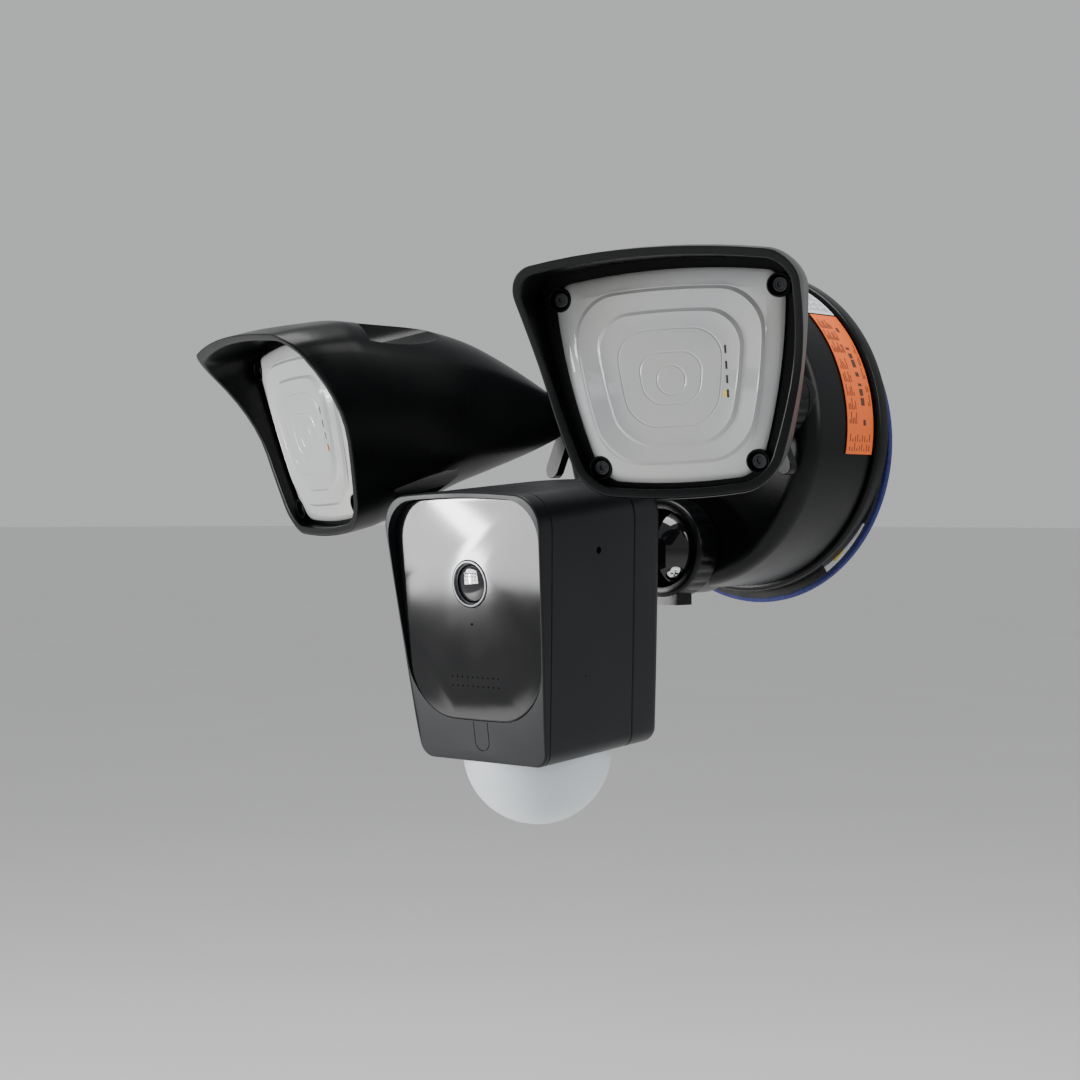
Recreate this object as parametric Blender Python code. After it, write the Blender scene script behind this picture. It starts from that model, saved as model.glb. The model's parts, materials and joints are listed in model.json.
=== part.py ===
"""Floodlight security camera for a wall: a drum base, two hooded lamps and a camera unit, each on a ball joint.

The origin is the centre of the wall face. +Y points into the wall, -Y is the front, +X is the viewer's right.
Lengths are written in millimetres and multiplied by MM.
"""

import math

import bmesh
import bpy
from mathutils import Matrix, Vector

MM = 0.001
GAP = 0.3

# Base: a drum on a flange. Depths are distances in front of the wall.
SEAL_RADIUS = 62.0
SEAL_DROP = 5.0
SEAL_DEPTH = 2.2
PLATE_RADIUS = 60.5
PLATE_BACK_RADIUS = 52.0
PLATE_DEPTH = 3.4
FLANGE_RADIUS = 62.5
FLANGE_BACK = 3.7
FLANGE_FRONT = 10.2
DRUM_RADIUS = 60.2
DRUM_FRONT = 50.0
DRUM_FILLET = 7.0
DRUM_WALL = 2.6
# Bosses for the ball joints: outer radius, bore and the depth where they start.
LAMP_BOSS = (13.9, 11.4, 40.0)
CAMERA_BOSS = (17.2, 13.7, 37.0)
CABLE_HOLE = (0.0, -24.0)
CABLE_HOLE_RADIUS = 9.0
CASE_SCREWS = ((-24.1, 34.4), (24.1, -34.4))
# Slots for the screws of a junction box: half their length and height, and how far out their middles are.
PLATE_SLOT = (9.0, 2.5, 40.0)
LABEL_DEPTHS = (11.3, 28.0)
ORANGE_LABEL_DEGREES = (-9.6, 44.0)
WHITE_LABEL_DEGREES = (44.8, 60.0)

# Lamp joints: ball centres, and how each lamp is turned at rest (yaw, pitch, roll in degrees).
LAMP_BALL = (45.0, -57.0, 9.0)
LAMP_BALL_RADIUS = 10.0
LEFT_LAMP_TURN = (-18.9, 13.5, -1.61)
RIGHT_LAMP_TURN = (21.8, 6.78, -1.88)
LAMP_NECK_RADIUS = 4.0
WING_DEGREES = 246.0

# Lamp head, from its ball centre: the lens front is this far ahead, and its middle this far up.
LENS_AHEAD = 112.5
LENS_UP = 14.1
LENS_THICK = 2.3
LEDGE_BEHIND = 3.9
SHELL_WALL = 2.6
LENS_SCREWS = ((35.6, 27.0), (-35.6, 27.0), (25.8, -26.8), (-25.8, -26.8))
# Pockets at the shell's corners, behind the screws: centre and radius, and how far ahead they end.
CORNER_POCKETS = ((31.0, 48.5, 11.0), (27.5, -17.5, 8.5))
POCKETS_AHEAD = 99.0

# Camera joint and unit. The unit's own origin is the centre of its bottom face.
CAMERA_BALL = (0.0, -58.0, -44.9)
CAMERA_BALL_RADIUS = 15.0
CAMERA_PITCH = 4.88
UNIT_FROM_BALL = (0.0, -77.8, -63.4)
CAMERA_NECK_RADIUS = 5.2
CLAMP_SCREW_AXIS = (0.62, -0.45, -0.64)
UNIT_FRONT = -28.7
UNIT_REAR = 32.0
UNIT_HEIGHT = 93.0
UNIT_CROWN = 2.0
UNIT_TOP_CORNER = 11.0
UNIT_BOTTOM_CORNER = 5.0
UNIT_CREASE = 11.8
RIM_AHEAD = 4.0
UNIT_HALF_BOTTOM = 29.4
UNIT_HALF_TOP = 37.4
UNIT_WALL = 2.2
BEZEL_THICK = 2.9
SEAM = 16.2
# How far the unit's edges are rounded, in front and behind.
FRONT_EDGE = 0.8
REAR_EDGE = 4.5
LENS_HEIGHT = 61.5
DOME_RADIUS = 26.1
DOME_SKIRT = 6.0
SOUND_HOLES = (-7.5, -2.5, 2.5, 7.5)
SOUND_ROWS = (26.4, 29.5)
RESET_HOLE = (-2.5, 70.8)
REAR_SCREWS = (("top", 0.0, 84.0), ("bottom", 0.0, 18.0))

MATERIALS = {
    "shell": ((0.012, 0.013, 0.015), 0.38, 0.0),
    "unit_shell": ((0.024, 0.026, 0.029), 0.5, 0.0),
    "gloss_black": ((0.006, 0.006, 0.008), 0.08, 0.0),
    "steel": ((0.6, 0.6, 0.62), 0.3, 1.0),
    "chrome": ((0.8, 0.8, 0.82), 0.12, 1.0),
    "aluminium": ((0.7, 0.7, 0.72), 0.35, 1.0),
    "blue_foam": ((0.03, 0.05, 0.25), 0.8, 0.0),
    "rubber": ((0.02, 0.02, 0.02), 0.85, 0.0),
    "orange": ((0.95, 0.25, 0.03), 0.55, 0.0),
    "white": ((0.85, 0.86, 0.88), 0.4, 0.0),
    "lens_clear": ((0.86, 0.88, 0.88), 0.1, 0.0),
    "board_green": ((0.02, 0.16, 0.07), 0.5, 0.0),
    "dome_white": ((0.82, 0.85, 0.88), 0.35, 0.0),
    "camera_glass": ((0.03, 0.03, 0.05), 0.05, 0.0),
}


def clear_scene():
    for obj in list(bpy.data.objects):
        bpy.data.objects.remove(obj)


def make_material(name):
    colour, roughness, metallic = MATERIALS[name]
    material = bpy.data.materials.get(name) or bpy.data.materials.new(name)
    material.use_nodes = True
    shader = material.node_tree.nodes["Principled BSDF"]
    shader.inputs["Base Color"].default_value = (*colour, 1.0)
    shader.inputs["Roughness"].default_value = roughness
    shader.inputs["Metallic"].default_value = metallic
    return material


# Shapes. Each returns a mesh whose points were given in millimetres.


def mesh_from(points, faces, name="shape"):
    mesh = bpy.data.meshes.new(name)
    mesh.from_pydata([Vector(p) * MM for p in points], [], faces)
    form = bmesh.new()
    form.from_mesh(mesh)
    bmesh.ops.recalc_face_normals(form, faces=form.faces)
    form.to_mesh(mesh)
    form.free()
    return mesh


def turned(profile, segments=24, axis="Z"):
    """A body turned about an axis through the origin, from (radius, height) points.

    A profile from axis to axis makes a solid, and any other closes on itself and makes a ring.
    """
    points = []
    rings = []
    for radius, height in profile:
        if radius == 0.0:
            rings.append([len(points)])
            points.append((0.0, 0.0, height))
            continue
        rings.append(list(range(len(points), len(points) + segments)))
        for i in range(segments):
            angle = math.tau * (i + 0.5) / segments
            points.append((radius * math.cos(angle), radius * math.sin(angle), height))
    pairs = list(zip(rings, rings[1:]))
    if len(rings[0]) > 1:
        pairs.append((rings[-1], rings[0]))
    faces = []
    for low, high in pairs:
        for i in range(segments):
            j = (i + 1) % segments
            face = (low[i % len(low)], low[j % len(low)], high[j % len(high)], high[i % len(high)])
            faces.append(tuple(dict.fromkeys(face)))
    turn = {"Z": (0, 1, 2), "FRONT": (0, 2, 1), "X": (2, 0, 1)}[axis]
    sign = -1.0 if axis == "FRONT" else 1.0
    points = [(p[turn[0]], p[turn[1]] * sign, p[turn[2]]) for p in points]
    return mesh_from(points, faces)


def disc(radius, low, high, segments=20, axis="Z"):
    return turned([(0.0, low), (radius, low), (radius, high), (0.0, high)], segments, axis)


def lofted(rings, loop=False):
    """Quads between rings of equal length. Ends are capped, or joined to each other if loop is set."""
    count = len(rings[0])
    points = [p for ring in rings for p in ring]
    faces = []
    spans = len(rings) if loop else len(rings) - 1
    for k in range(spans):
        a = k * count
        b = (k + 1) % len(rings) * count
        for i in range(count):
            j = (i + 1) % count
            faces.append((a + i, a + j, b + j, b + i))
    if not loop:
        last = (len(rings) - 1) * count
        faces.append(tuple(range(count)))
        faces.append(tuple(range(last, last + count)))
    return mesh_from(points, faces)


def block(size, centre):
    half = [s / 2 for s in size]
    signs = [(x, y, z) for z in (-1, 1) for y in (-1, 1) for x in (-1, 1)]
    points = [[c + s * h for c, s, h in zip(centre, sign, half)] for sign in signs]
    faces = [(0, 2, 3, 1), (4, 5, 7, 6), (0, 1, 5, 4), (2, 6, 7, 3), (0, 4, 6, 2), (1, 3, 7, 5)]
    return mesh_from(points, faces)


def outline(half_top, half_bottom, top, bottom, bows=(0, 0, 0), radii=(5, 5), corner_steps=3, side_steps=3):
    """(x, z) points of a rounded trapezoid. bows are how far top, bottom and sides bulge at their middles."""
    half_height = (top - bottom) / 2
    corners = []
    for k, (sign_u, sign_v) in enumerate(((1, 1), (-1, 1), (-1, -1), (1, -1))):
        half = half_top if sign_v > 0 else half_bottom
        radius = radii[0] if sign_v > 0 else radii[1]
        in_u = radius / half
        in_v = radius / half_height
        arc = []
        for i in range(corner_steps + 1):
            angle = math.radians(90 * (k + i / corner_steps))
            arc.append(
                (sign_u * (1 - in_u) + in_u * math.cos(angle), sign_v * (1 - in_v) + in_v * math.sin(angle))
            )
        corners.append(arc)
    unit = []
    for arc, after in zip(corners, corners[1:] + corners[:1]):
        unit += arc
        for i in range(1, side_steps):
            share = i / side_steps
            unit.append(tuple(a + (b - a) * share for a, b in zip(arc[-1], after[0])))
    points = []
    for u, v in unit:
        up = (v + 1) / 2
        half = half_bottom + (half_top - half_bottom) * up + bows[2] * (1 - v * v)
        low = bottom - bows[1] * (1 - u * u)
        high = top + bows[0] * (1 - u * u)
        points.append((u * half, low + (high - low) * up))
    return points


def baked(obj):
    """Replaces the object's mesh by what its modifiers make of it."""
    graph = bpy.context.evaluated_depsgraph_get()
    mesh = bpy.data.meshes.new_from_object(obj.evaluated_get(graph))
    obj.modifiers.clear()
    obj.data = mesh
    return mesh


def combined(mesh, others, operation):
    """The mesh with others cut from it (DIFFERENCE) or joined to it (UNION)."""
    obj = bpy.data.objects.new("work", mesh)
    bpy.context.scene.collection.objects.link(obj)
    helpers = []
    for other in others:
        helper = bpy.data.objects.new("helper", other)
        bpy.context.scene.collection.objects.link(helper)
        helper.hide_render = True
        helper.display_type = "WIRE"
        modifier = obj.modifiers.new(operation.title(), "BOOLEAN")
        modifier.operation = operation
        modifier.solver = "EXACT"
        modifier.object = helper
        helpers.append(helper)
    result = baked(obj)
    for leftover in [obj, *helpers]:
        bpy.data.objects.remove(leftover)
    return result


def cut(mesh, *cutters):
    return combined(mesh, cutters, "DIFFERENCE")


def joined(mesh, *others):
    return combined(mesh, others, "UNION")


def moved(mesh, offset=(0, 0, 0), turn=None):
    """The mesh turned and then shifted by an offset in millimetres."""
    mesh.transform(Matrix.Translation(Vector(offset) * MM) @ (turn or Matrix.Identity(4)))
    return mesh


def pointing(axis):
    """The turn that takes +Z to the axis."""
    return Vector(axis).to_track_quat("Z", "Y").to_matrix().to_4x4()


# Objects


def add(name, mesh, material, parent=None, location=(0, 0, 0)):
    mesh = mesh.copy() if mesh.users else mesh
    mesh.name = name
    mesh.materials.clear()
    mesh.materials.append(make_material(material))
    mesh.shade_smooth()
    mesh.set_sharp_from_angle(angle=math.radians(32))
    obj = bpy.data.objects.new(name, mesh)
    bpy.context.scene.collection.objects.link(obj)
    obj.parent = parent
    obj.location = Vector(location) * MM
    return obj


def add_empty(name, location, turn=(0.0, 0.0, 0.0)):
    """An empty at a ball centre, turned by yaw, pitch and roll in degrees."""
    yaw, pitch, roll = (math.radians(a) for a in turn)
    empty = bpy.data.objects.new(name, None)
    bpy.context.scene.collection.objects.link(empty)
    rotation = Matrix.Rotation(yaw, 4, "Z") @ Matrix.Rotation(pitch, 4, "X") @ Matrix.Rotation(roll, 4, "Y")
    empty.matrix_world = Matrix.Translation(Vector(location) * MM) @ rotation
    return empty


def arc(radius, start, end, steps, centre=(0.0, 0.0)):
    """Points round a centre from one angle to another, in degrees."""
    angles = [math.radians(start + (end - start) * i / steps) for i in range(steps + 1)]
    return [(centre[0] + radius * math.cos(a), centre[1] + radius * math.sin(a)) for a in angles]


def screw_mesh(head_radius, head_height, shank_radius, length, segments=8):
    """A pan head screw along +Z with its head on top: the head's underside is at 0. It has a cross recess."""
    profile = [(0.0, -length), (shank_radius, -length), (shank_radius, 0.0), (head_radius, 0.0)]
    profile += [(head_radius, head_height * 0.6), (head_radius * 0.8, head_height), (0.0, head_height)]
    reach = head_radius * 0.55
    arm = head_radius * 0.15
    corners = [(reach, arm), (arm, arm), (arm, reach)]
    cross = []
    for quarter in range(4):
        turn = Matrix.Rotation(math.radians(90 * quarter), 2)
        cross += [tuple(turn @ Vector(corner)) for corner in corners]
    low = head_height * 0.45
    recess = lofted([[(x, y, z) for x, y in cross] for z in (low, head_height + 1.0)])
    return cut(turned(profile, segments), recess)


# Base


def base_housing_mesh():
    inner = DRUM_RADIUS - DRUM_WALL
    floor = DRUM_FRONT - DRUM_WALL
    centre = (DRUM_RADIUS - DRUM_FILLET, DRUM_FRONT - DRUM_FILLET)
    profile = [(FLANGE_RADIUS, FLANGE_BACK), (FLANGE_RADIUS, FLANGE_FRONT - 0.9)]
    profile += [(FLANGE_RADIUS - 0.9, FLANGE_FRONT), (DRUM_RADIUS, FLANGE_FRONT)]
    profile += arc(DRUM_FILLET, 0, 90, 4, centre)
    profile += [(0.0, DRUM_FRONT), (0.0, floor)]
    profile += arc(DRUM_FILLET - DRUM_WALL, 90, 0, 3, centre)
    profile += [(inner, FLANGE_BACK)]
    shell = turned_cup(profile, 44)
    bosses = [moved(disc(4.5, FLANGE_BACK, floor + 1, 10, "FRONT"), (x, 0, z)) for x, z in CASE_SCREWS]
    holes = [moved(disc(1.7, 1, 20, 8, "FRONT"), (x, 0, z)) for x, z in CASE_SCREWS]
    joints = [(-LAMP_BALL[0], LAMP_BALL[2], *LAMP_BOSS), (LAMP_BALL[0], LAMP_BALL[2], *LAMP_BOSS)]
    joints.append((CAMERA_BALL[0], CAMERA_BALL[2], *CAMERA_BOSS))
    for x, z, outer, bore, start in joints:
        bosses.append(moved(disc(outer, start, DRUM_FRONT - 0.7, 22, "FRONT"), (x, 0, z)))
        holes.append(moved(disc(bore, start - 10, 60, 22, "FRONT"), (x, 0, z)))
    return cut(joined(shell, *bosses), *holes)


def turned_cup(profile, segments):
    """A cup about the front axis: its profile meets the axis in its middle, not at its ends."""
    points = []
    rings = []
    for radius, depth in profile:
        if radius == 0.0:
            rings.append([len(points)])
            points.append((0.0, -depth, 0.0))
            continue
        rings.append(list(range(len(points), len(points) + segments)))
        for i in range(segments):
            angle = math.tau * (i + 0.5) / segments
            points.append((radius * math.cos(angle), -depth, radius * math.sin(angle)))
    faces = []
    for low, high in zip(rings, rings[1:] + rings[:1]):
        if len(low) == len(high) == 1:
            continue
        for i in range(segments):
            j = (i + 1) % segments
            face = (low[i % len(low)], low[j % len(low)], high[j % len(high)], high[i % len(high)])
            faces.append(tuple(dict.fromkeys(face)))
    return mesh_from(points, faces)


def make_base():
    add("base_housing", base_housing_mesh(), "shell")
    drop = (0, 0, -SEAL_DROP)
    ring = [(PLATE_BACK_RADIUS + GAP, 0.0), (SEAL_RADIUS, 0.0), (SEAL_RADIUS, SEAL_DEPTH)]
    ring.append((PLATE_BACK_RADIUS + GAP, SEAL_DEPTH))
    add("wall_seal", moved(turned(ring, 36, "FRONT"), drop), "blue_foam")

    step = SEAL_DEPTH + GAP
    profile = [(0.0, 0.0), (PLATE_BACK_RADIUS, 0.0), (PLATE_BACK_RADIUS, step)]
    profile += [(PLATE_RADIUS, step), (PLATE_RADIUS, PLATE_DEPTH), (0.0, PLATE_DEPTH)]
    plate = moved(turned(profile, 36, "FRONT"), drop)
    cable = (CABLE_HOLE[0], 0, CABLE_HOLE[1])
    holes = [moved(disc(CABLE_HOLE_RADIUS, -2, 8, 20, "FRONT"), cable)]
    half_length, half_height, out = PLATE_SLOT
    slot = outline(half_length, half_length, half_height, -half_height, radii=(half_height, half_height))
    for side in (-1, 1):
        rings = [[(side * out + x, y, z - SEAL_DROP) for x, z in slot] for y in (-8.0, 2.0)]
        holes.append(lofted(rings))
    for x, z in CASE_SCREWS:
        step_bore = [(0.0, -2.0), (3.8, -2.0), (3.8, 2.1), (2.2, 2.1), (2.2, 8.0), (0.0, 8.0)]
        holes.append(moved(turned(step_bore, 12, "FRONT"), (x, 0, z)))
    add("wall_plate", cut(plate, *holes), "steel")

    groove = CABLE_HOLE_RADIUS - GAP
    grommet = [(5.0, 0.5), (groove, 0.5), (groove, 3.7), (11.5, 3.7), (11.5, 5.7), (7.5, 8.5), (5.0, 8.5)]
    add("cable_grommet", moved(turned(grommet, 16, "FRONT"), cable), "rubber")
    screw = screw_mesh(3.4, 1.6, 1.5, 14.0)
    into_housing = Matrix.Rotation(math.radians(-90), 4, "X")
    screw.transform(into_housing)
    for name, (x, z) in zip(("case_screw_top", "case_screw_bottom"), CASE_SCREWS):
        add(name, screw, "steel", location=(x, GAP - 2.1, z))

    wells = [moved(disc(2.6, 12, 20, 10, "FRONT"), (x, 0, 22)) for x in (-8, 0, 8)]
    terminal = cut(block((27, 12.5, 14), (0, -10.1, 22)), *wells)
    add("terminal_block", terminal, "white")
    add("driver_board", block((58, 1.6, 40), (0, -35, 6)), "board_green")
    coil = joined(block((24, 8, 20), (-13, -29.9, 8)), block((18, 14, 16), (-13, -26.9, 8)))
    add("driver_transformer", coil, "aluminium")

    for name, degrees, material in (
        ("warning_label", ORANGE_LABEL_DEGREES, "orange"),
        ("rating_label", WHITE_LABEL_DEGREES, "white"),
    ):
        add(name, label_mesh(degrees), material)


def label_mesh(degrees):
    """A strip bent round the drum's side, between two angles from +X towards +Z."""
    steps = max(3, round((degrees[1] - degrees[0]) / 4))
    rings = []
    for x, z in arc(1.0, degrees[0], degrees[1], steps):
        ring = []
        for radius, depth in ((0, 0), (1, 0), (1, 1), (0, 1)):
            reach = DRUM_RADIUS + GAP + 0.2 * radius
            ring.append((x * reach, -LABEL_DEPTHS[depth], z * reach))
        rings.append(ring)
    return lofted(rings)


# Ball joints


def lock_ring_mesh(ball_radius, lip, spigot_radius, ring_radius, base_depth, socket_back):
    """A ring round a ball, about the front axis, with heights counted forward from the ball's centre.

    A spigot radius of 0 leaves out the part that goes into the drum.
    """
    socket = ball_radius + GAP
    front = math.degrees(math.asin(lip / socket))
    back = -math.degrees(math.asin(socket_back / socket))
    inside = arc(socket, front, back, 5)
    seat = base_depth + GAP
    profile = [(ring_radius, seat), (ring_radius, lip - 3.0)]
    profile += [(ring_radius - 0.9, lip - 0.8), (ring_radius - 2.2, lip + 0.3)]
    profile += inside
    if spigot_radius:
        profile += [(inside[-1][0], seat - 5.8), (spigot_radius, seat - 5.8), (spigot_radius, seat)]
    return turned(profile, 22, "FRONT")


def ball_mesh(radius, slot_half, slot_back, pin_hole):
    """A ball with a slot for the neck, open to the front, and a hole through its cheeks for the pin."""
    ball = turned([(0.0, -radius), *arc(radius, -70, 70, 7), (0.0, radius)], 22)
    slot = block((2 * slot_half, radius + slot_back + 2, 2 * radius + 4), (0, (slot_back - radius - 2) / 2, 0))
    return cut(ball, slot, disc(pin_hole, -radius - 2, radius + 2, 16, "X"))


def make_lamp_joint(side, name, turn):
    """The lock ring with its wing, the ball, its pin and the neck. side is -1 at the left."""
    yaw, pitch, _ = turn
    ball = (side * LAMP_BALL[0], LAMP_BALL[1], LAMP_BALL[2])
    pan = add_empty(f"{name}_pan_frame", ball, (yaw, 0.0, 0.0))
    tilt = add_empty(f"{name}_tilt_frame", ball, (yaw, pitch, 0.0))
    ring = lock_ring_mesh(LAMP_BALL_RADIUS, 3.6, 11.0, 14.6, -7.0, 7.5)
    wing = joined(block((14.5, 4.0, 6.0), (19.25, -2.0, 0)), moved(disc(3.0, 0, 4.0, 16, "FRONT"), (26.5, 0, 0)))
    degrees = WING_DEGREES if side < 0 else 540 - WING_DEGREES
    ring = joined(ring, moved(wing, turn=Matrix.Rotation(math.radians(-degrees), 4, "Y")))
    add(f"{name}_lock_ring", ring, "shell", location=ball)
    add(f"{name}_ball", ball_mesh(LAMP_BALL_RADIUS, 4.4, 5.5, 1.7), "gloss_black", pan)
    add(f"{name}_tilt_pin", disc(1.5, -8.8, 8.8, 16, "X"), "steel", pan)
    rod = disc(LAMP_NECK_RADIUS, 3.0, 27.0, 20, "FRONT")
    neck = cut(joined(disc(4.6, -3.4, 3.4, 20, "X"), rod), disc(1.65, -6, 6, 16, "X"))
    add(f"{name}_neck", neck, "gloss_black", tilt)


def make_camera_joint(frame):
    ring = lock_ring_mesh(CAMERA_BALL_RADIUS, 4.0, 0.0, 18.5, -8.0, 7.7)
    ear = block((10.0, 9.0, 6.0), (2.0, 1.5, -18.3))
    add("camera_lock_ring", joined(ring, ear), "shell", location=CAMERA_BALL)
    ball = ball_mesh(CAMERA_BALL_RADIUS, 5.8, 8.0, 1.85)
    along = pointing(CLAMP_SCREW_AXIS)
    well = turned([(0.0, 10.3), (1.7, 10.3), (1.7, 12.8), (3.5, 12.8), (3.5, 18.0), (0.0, 18.0)], 14)
    add("camera_ball", cut(ball, moved(well, turn=along)), "gloss_black", location=CAMERA_BALL)
    add("camera_tilt_pin", disc(1.65, -13.6, 13.6, 16, "X"), "steel", location=CAMERA_BALL)
    screw = moved(moved(screw_mesh(3.1, 1.5, 1.4, 2.5), (0, 0, 13.1)), turn=along)
    add("camera_clamp_screw", screw, "chrome", location=CAMERA_BALL)
    flange = -UNIT_FROM_BALL[1] - UNIT_REAR
    profile = [(0.0, 4.5), (CAMERA_NECK_RADIUS, 4.5), (CAMERA_NECK_RADIUS, 19.0), (6.6, 30.0)]
    profile += [(9.0, flange - 5.5), (12.5, flange - 2.2), (12.5, flange - GAP), (7.5, flange - GAP)]
    profile += [(7.5, flange + 6.0), (0.0, flange + 6.0)]
    eye = disc(6.5, -4.9, 4.9, 20, "X")
    neck = cut(joined(eye, turned(profile, 20, "FRONT")), disc(1.8, -8, 8, 16, "X"))
    add("camera_neck", neck, "shell", frame)


# Lamp head. Every shape is in the lamp's frame: its ball centre is the origin and -Y is the way it shines.


def rim_ahead(height):
    """How far the hood's edge stands ahead of the lens at a height above the lens's middle."""
    return 2.6 + 16.0 * max(0.0, (height + 4.0) / 38.0) ** 1.8


def lamp_section(y, half_top, half_bottom, top, bottom, bows, radius, rim_share=0.0):
    """A ring of the lamp's shell. rim_share bends it forward, from flat to the hood's edge."""
    ring = []
    for x, z in outline(half_top, half_bottom, top, bottom, bows, (radius, radius)):
        ring.append((x, y - rim_share * rim_ahead(z - LENS_UP), z))
    return ring


def housing_mesh():
    w = SHELL_WALL
    front = -LENS_AHEAD
    ledge = front + LEDGE_BEHIND
    up = LENS_UP
    rings = [
        lamp_section(-13.0, 7.9, 7.9, 7.4, -7.6, (0.6, 0.6, 0.6), 6.5),
        lamp_section(-14.6, 9.4, 9.4, 9.0, -9.0, (0.6, 0.5, 0.6), 7.0),
        lamp_section(-30.0, 16.5, 14.0, 20.0, -11.3, (2.5, 0.8, 1.0), 9.5),
        lamp_section(-48.0, 24.5, 19.0, 31.5, -13.0, (3.3, 1.2, 1.8), 11.5),
        lamp_section(-67.0, 32.0, 23.5, 39.6, -14.8, (4.0, 1.6, 2.4), 12.0),
        lamp_section(-87.0, 38.5, 27.5, 45.0, -18.6, (4.3, 2.2, 2.8), 11.5),
        lamp_section(-105.0, 43.5, 30.2, 49.6, -20.7, (4.5, 2.6, 3.1), 10.5),
        lamp_section(front + 1.0, 45.4, 30.8, 50.8, -20.8, (4.5, 2.6, 3.2), 9.5, 0.5),
        lamp_section(front, 46.0, 31.0, up + 36.6, up - 34.6, (4.4, 2.4, 3.2), 9.0, 1.0),
        lamp_section(front, 46.0 - w, 31.0 - w, up + 36.6 - w, up - 34.6 + w, (4.2, 2.2, 3.0), 7.0, 1.0),
        lamp_section(ledge, 42.6, 28.8, up + 33.6, up - 31.9, (3.8, 2.2, 2.8), 5.0),
        lamp_section(ledge, 33.5, 23.0, up + 28.0, up - 27.5, (3.0, 1.5, 2.0), 15.0),
        lamp_section(-100.5, 31.0, 22.7, 39.0, -13.4, (2.0, 1.2, 1.5), 15.0),
        lamp_section(-87.0, 31.0, 22.5, 38.5, -13.5, (2.0, 1.0, 1.5), 14.0),
        lamp_section(-72.0, 28.0, 19.0, 35.5, -11.0, (3.0, 0.8, 1.0), 11.0),
    ]
    shell = lofted(rings)
    holes = [disc(LAMP_NECK_RADIUS + GAP, 10.0, 28.0, 20, "FRONT")]
    for x, z in LENS_SCREWS:
        holes.append(moved(disc(1.5, LENS_AHEAD - 12, LENS_AHEAD, 8, "FRONT"), (x, 0, up + z)))
    for x, z, radius in CORNER_POCKETS:
        for side in (-1, 1):
            holes.append(moved(disc(radius, 20.0, POCKETS_AHEAD, 24, "FRONT"), (side * x, 0, z)))
    return cut(shell, *holes)


def screw_notches(low, high):
    return [moved(disc(3.9, low, high, 10, "FRONT"), (x, 0, LENS_UP + z)) for x, z in LENS_SCREWS]


def flat_ring(y, outer, inner, depth):
    """A flat ring between two outlines, from y to y + depth."""
    rings = [[(x, y, z) for x, z in outer], [(x, y + depth, z) for x, z in outer]]
    rings += [[(x, y + depth, z) for x, z in inner], [(x, y, z) for x, z in inner]]
    return lofted(rings, loop=True)


def lens_outline(inset=0.0):
    top = LENS_UP + 31.0 - inset
    return outline(37.5 - inset, 25.5 - inset, top, LENS_UP - 30.8 + inset, (3.2, 1.7, 2.6), (6.0, 6.0))


def make_lamp(name, frame):
    front = -LENS_AHEAD
    up = LENS_UP
    add(f"{name}_housing", housing_mesh(), "shell", frame)

    steps = [(front + LENS_THICK, 0.0), (front, 0.0), (front, 5.2), (front - 0.8, 6.2)]
    steps += [(front - 0.8, 12.1), (front - 1.5, 13.1)]
    lens = lofted([[(x, y, z) for x, z in lens_outline(inset)] for y, inset in steps])
    add(f"{name}_lens", cut(lens, *screw_notches(LENS_AHEAD - 6, LENS_AHEAD + 4)), "lens_clear", frame)

    mouth = outline(34.2, 23.6, up + 28.6, up - 28.1, (3.0, 1.5, 2.0), (14.0, 14.0))
    gasket = flat_ring(front + LENS_THICK + GAP, lens_outline(0.4), mouth, 1.0)
    add(f"{name}_gasket", cut(gasket, *screw_notches(LENS_AHEAD - 6, LENS_AHEAD + 4)), "rubber", frame)

    wide = outline(32.4, 22.0, up + 27.0, up - 26.6, (3.0, 1.5, 2.0), (14.0, 14.0))
    narrow = outline(17.0, 16.0, up + 15.0, up - 15.0, (0.5, 0.5, 0.5), (7.0, 7.0))
    rings = []
    for shape, y, inset in ((wide, -109.6, 0), (narrow, -97.4, 0), (narrow, -97.4, 1.4), (wide, -109.6, 1.4)):
        scale = 1 - inset / 24.0
        rings.append([(x * scale, y, up + (z - up) * scale) for x, z in shape])
    add(f"{name}_reflector", lofted(rings, loop=True), "white", frame)

    board = block((36, 1.6, 34), (0, -96.3, up))
    chips = [block((3.2, 1.2, 3.2), (x, -97.3, up + z)) for x in (-8, 8) for z in (-8, 0, 8)]
    add(f"{name}_led_board", joined(board, *chips), "white", frame)
    sink = block((40, 3.0, 34), (0, -93.7, up - 1))
    fins = [block((1.6, 16.0, 34), (x, -85.5, up - 1)) for x in (-16, -8, 0, 8, 16)]
    add(f"{name}_heat_sink", joined(sink, *fins), "aluminium", frame)

    screw = screw_mesh(2.6, 1.9, 1.2, 7.0)
    screw.transform(Matrix.Rotation(math.radians(90), 4, "X"))
    places = ("top_right", "top_left", "bottom_right", "bottom_left")
    for place, (x, z) in zip(places, LENS_SCREWS):
        seat = (x, front + LEDGE_BEHIND - GAP, up + z)
        add(f"{name}_lens_screw_{place}", screw, "steel", frame, seat)


# Camera unit. Its shapes are in the unit's frame: the middle of its bottom face is the origin.


def unit_section(y, inset=0.0):
    """A ring of the unit's shell."""
    shape = outline(
        UNIT_HALF_TOP - inset,
        UNIT_HALF_BOTTOM - inset,
        UNIT_HEIGHT - UNIT_CROWN - inset,
        inset,
        (UNIT_CROWN, 0.0, 0.3),
        (UNIT_TOP_CORNER - inset, max(UNIT_BOTTOM_CORNER - inset, 2.0)),
    )
    return [(x, y, z) for x, z in shape]


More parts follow.
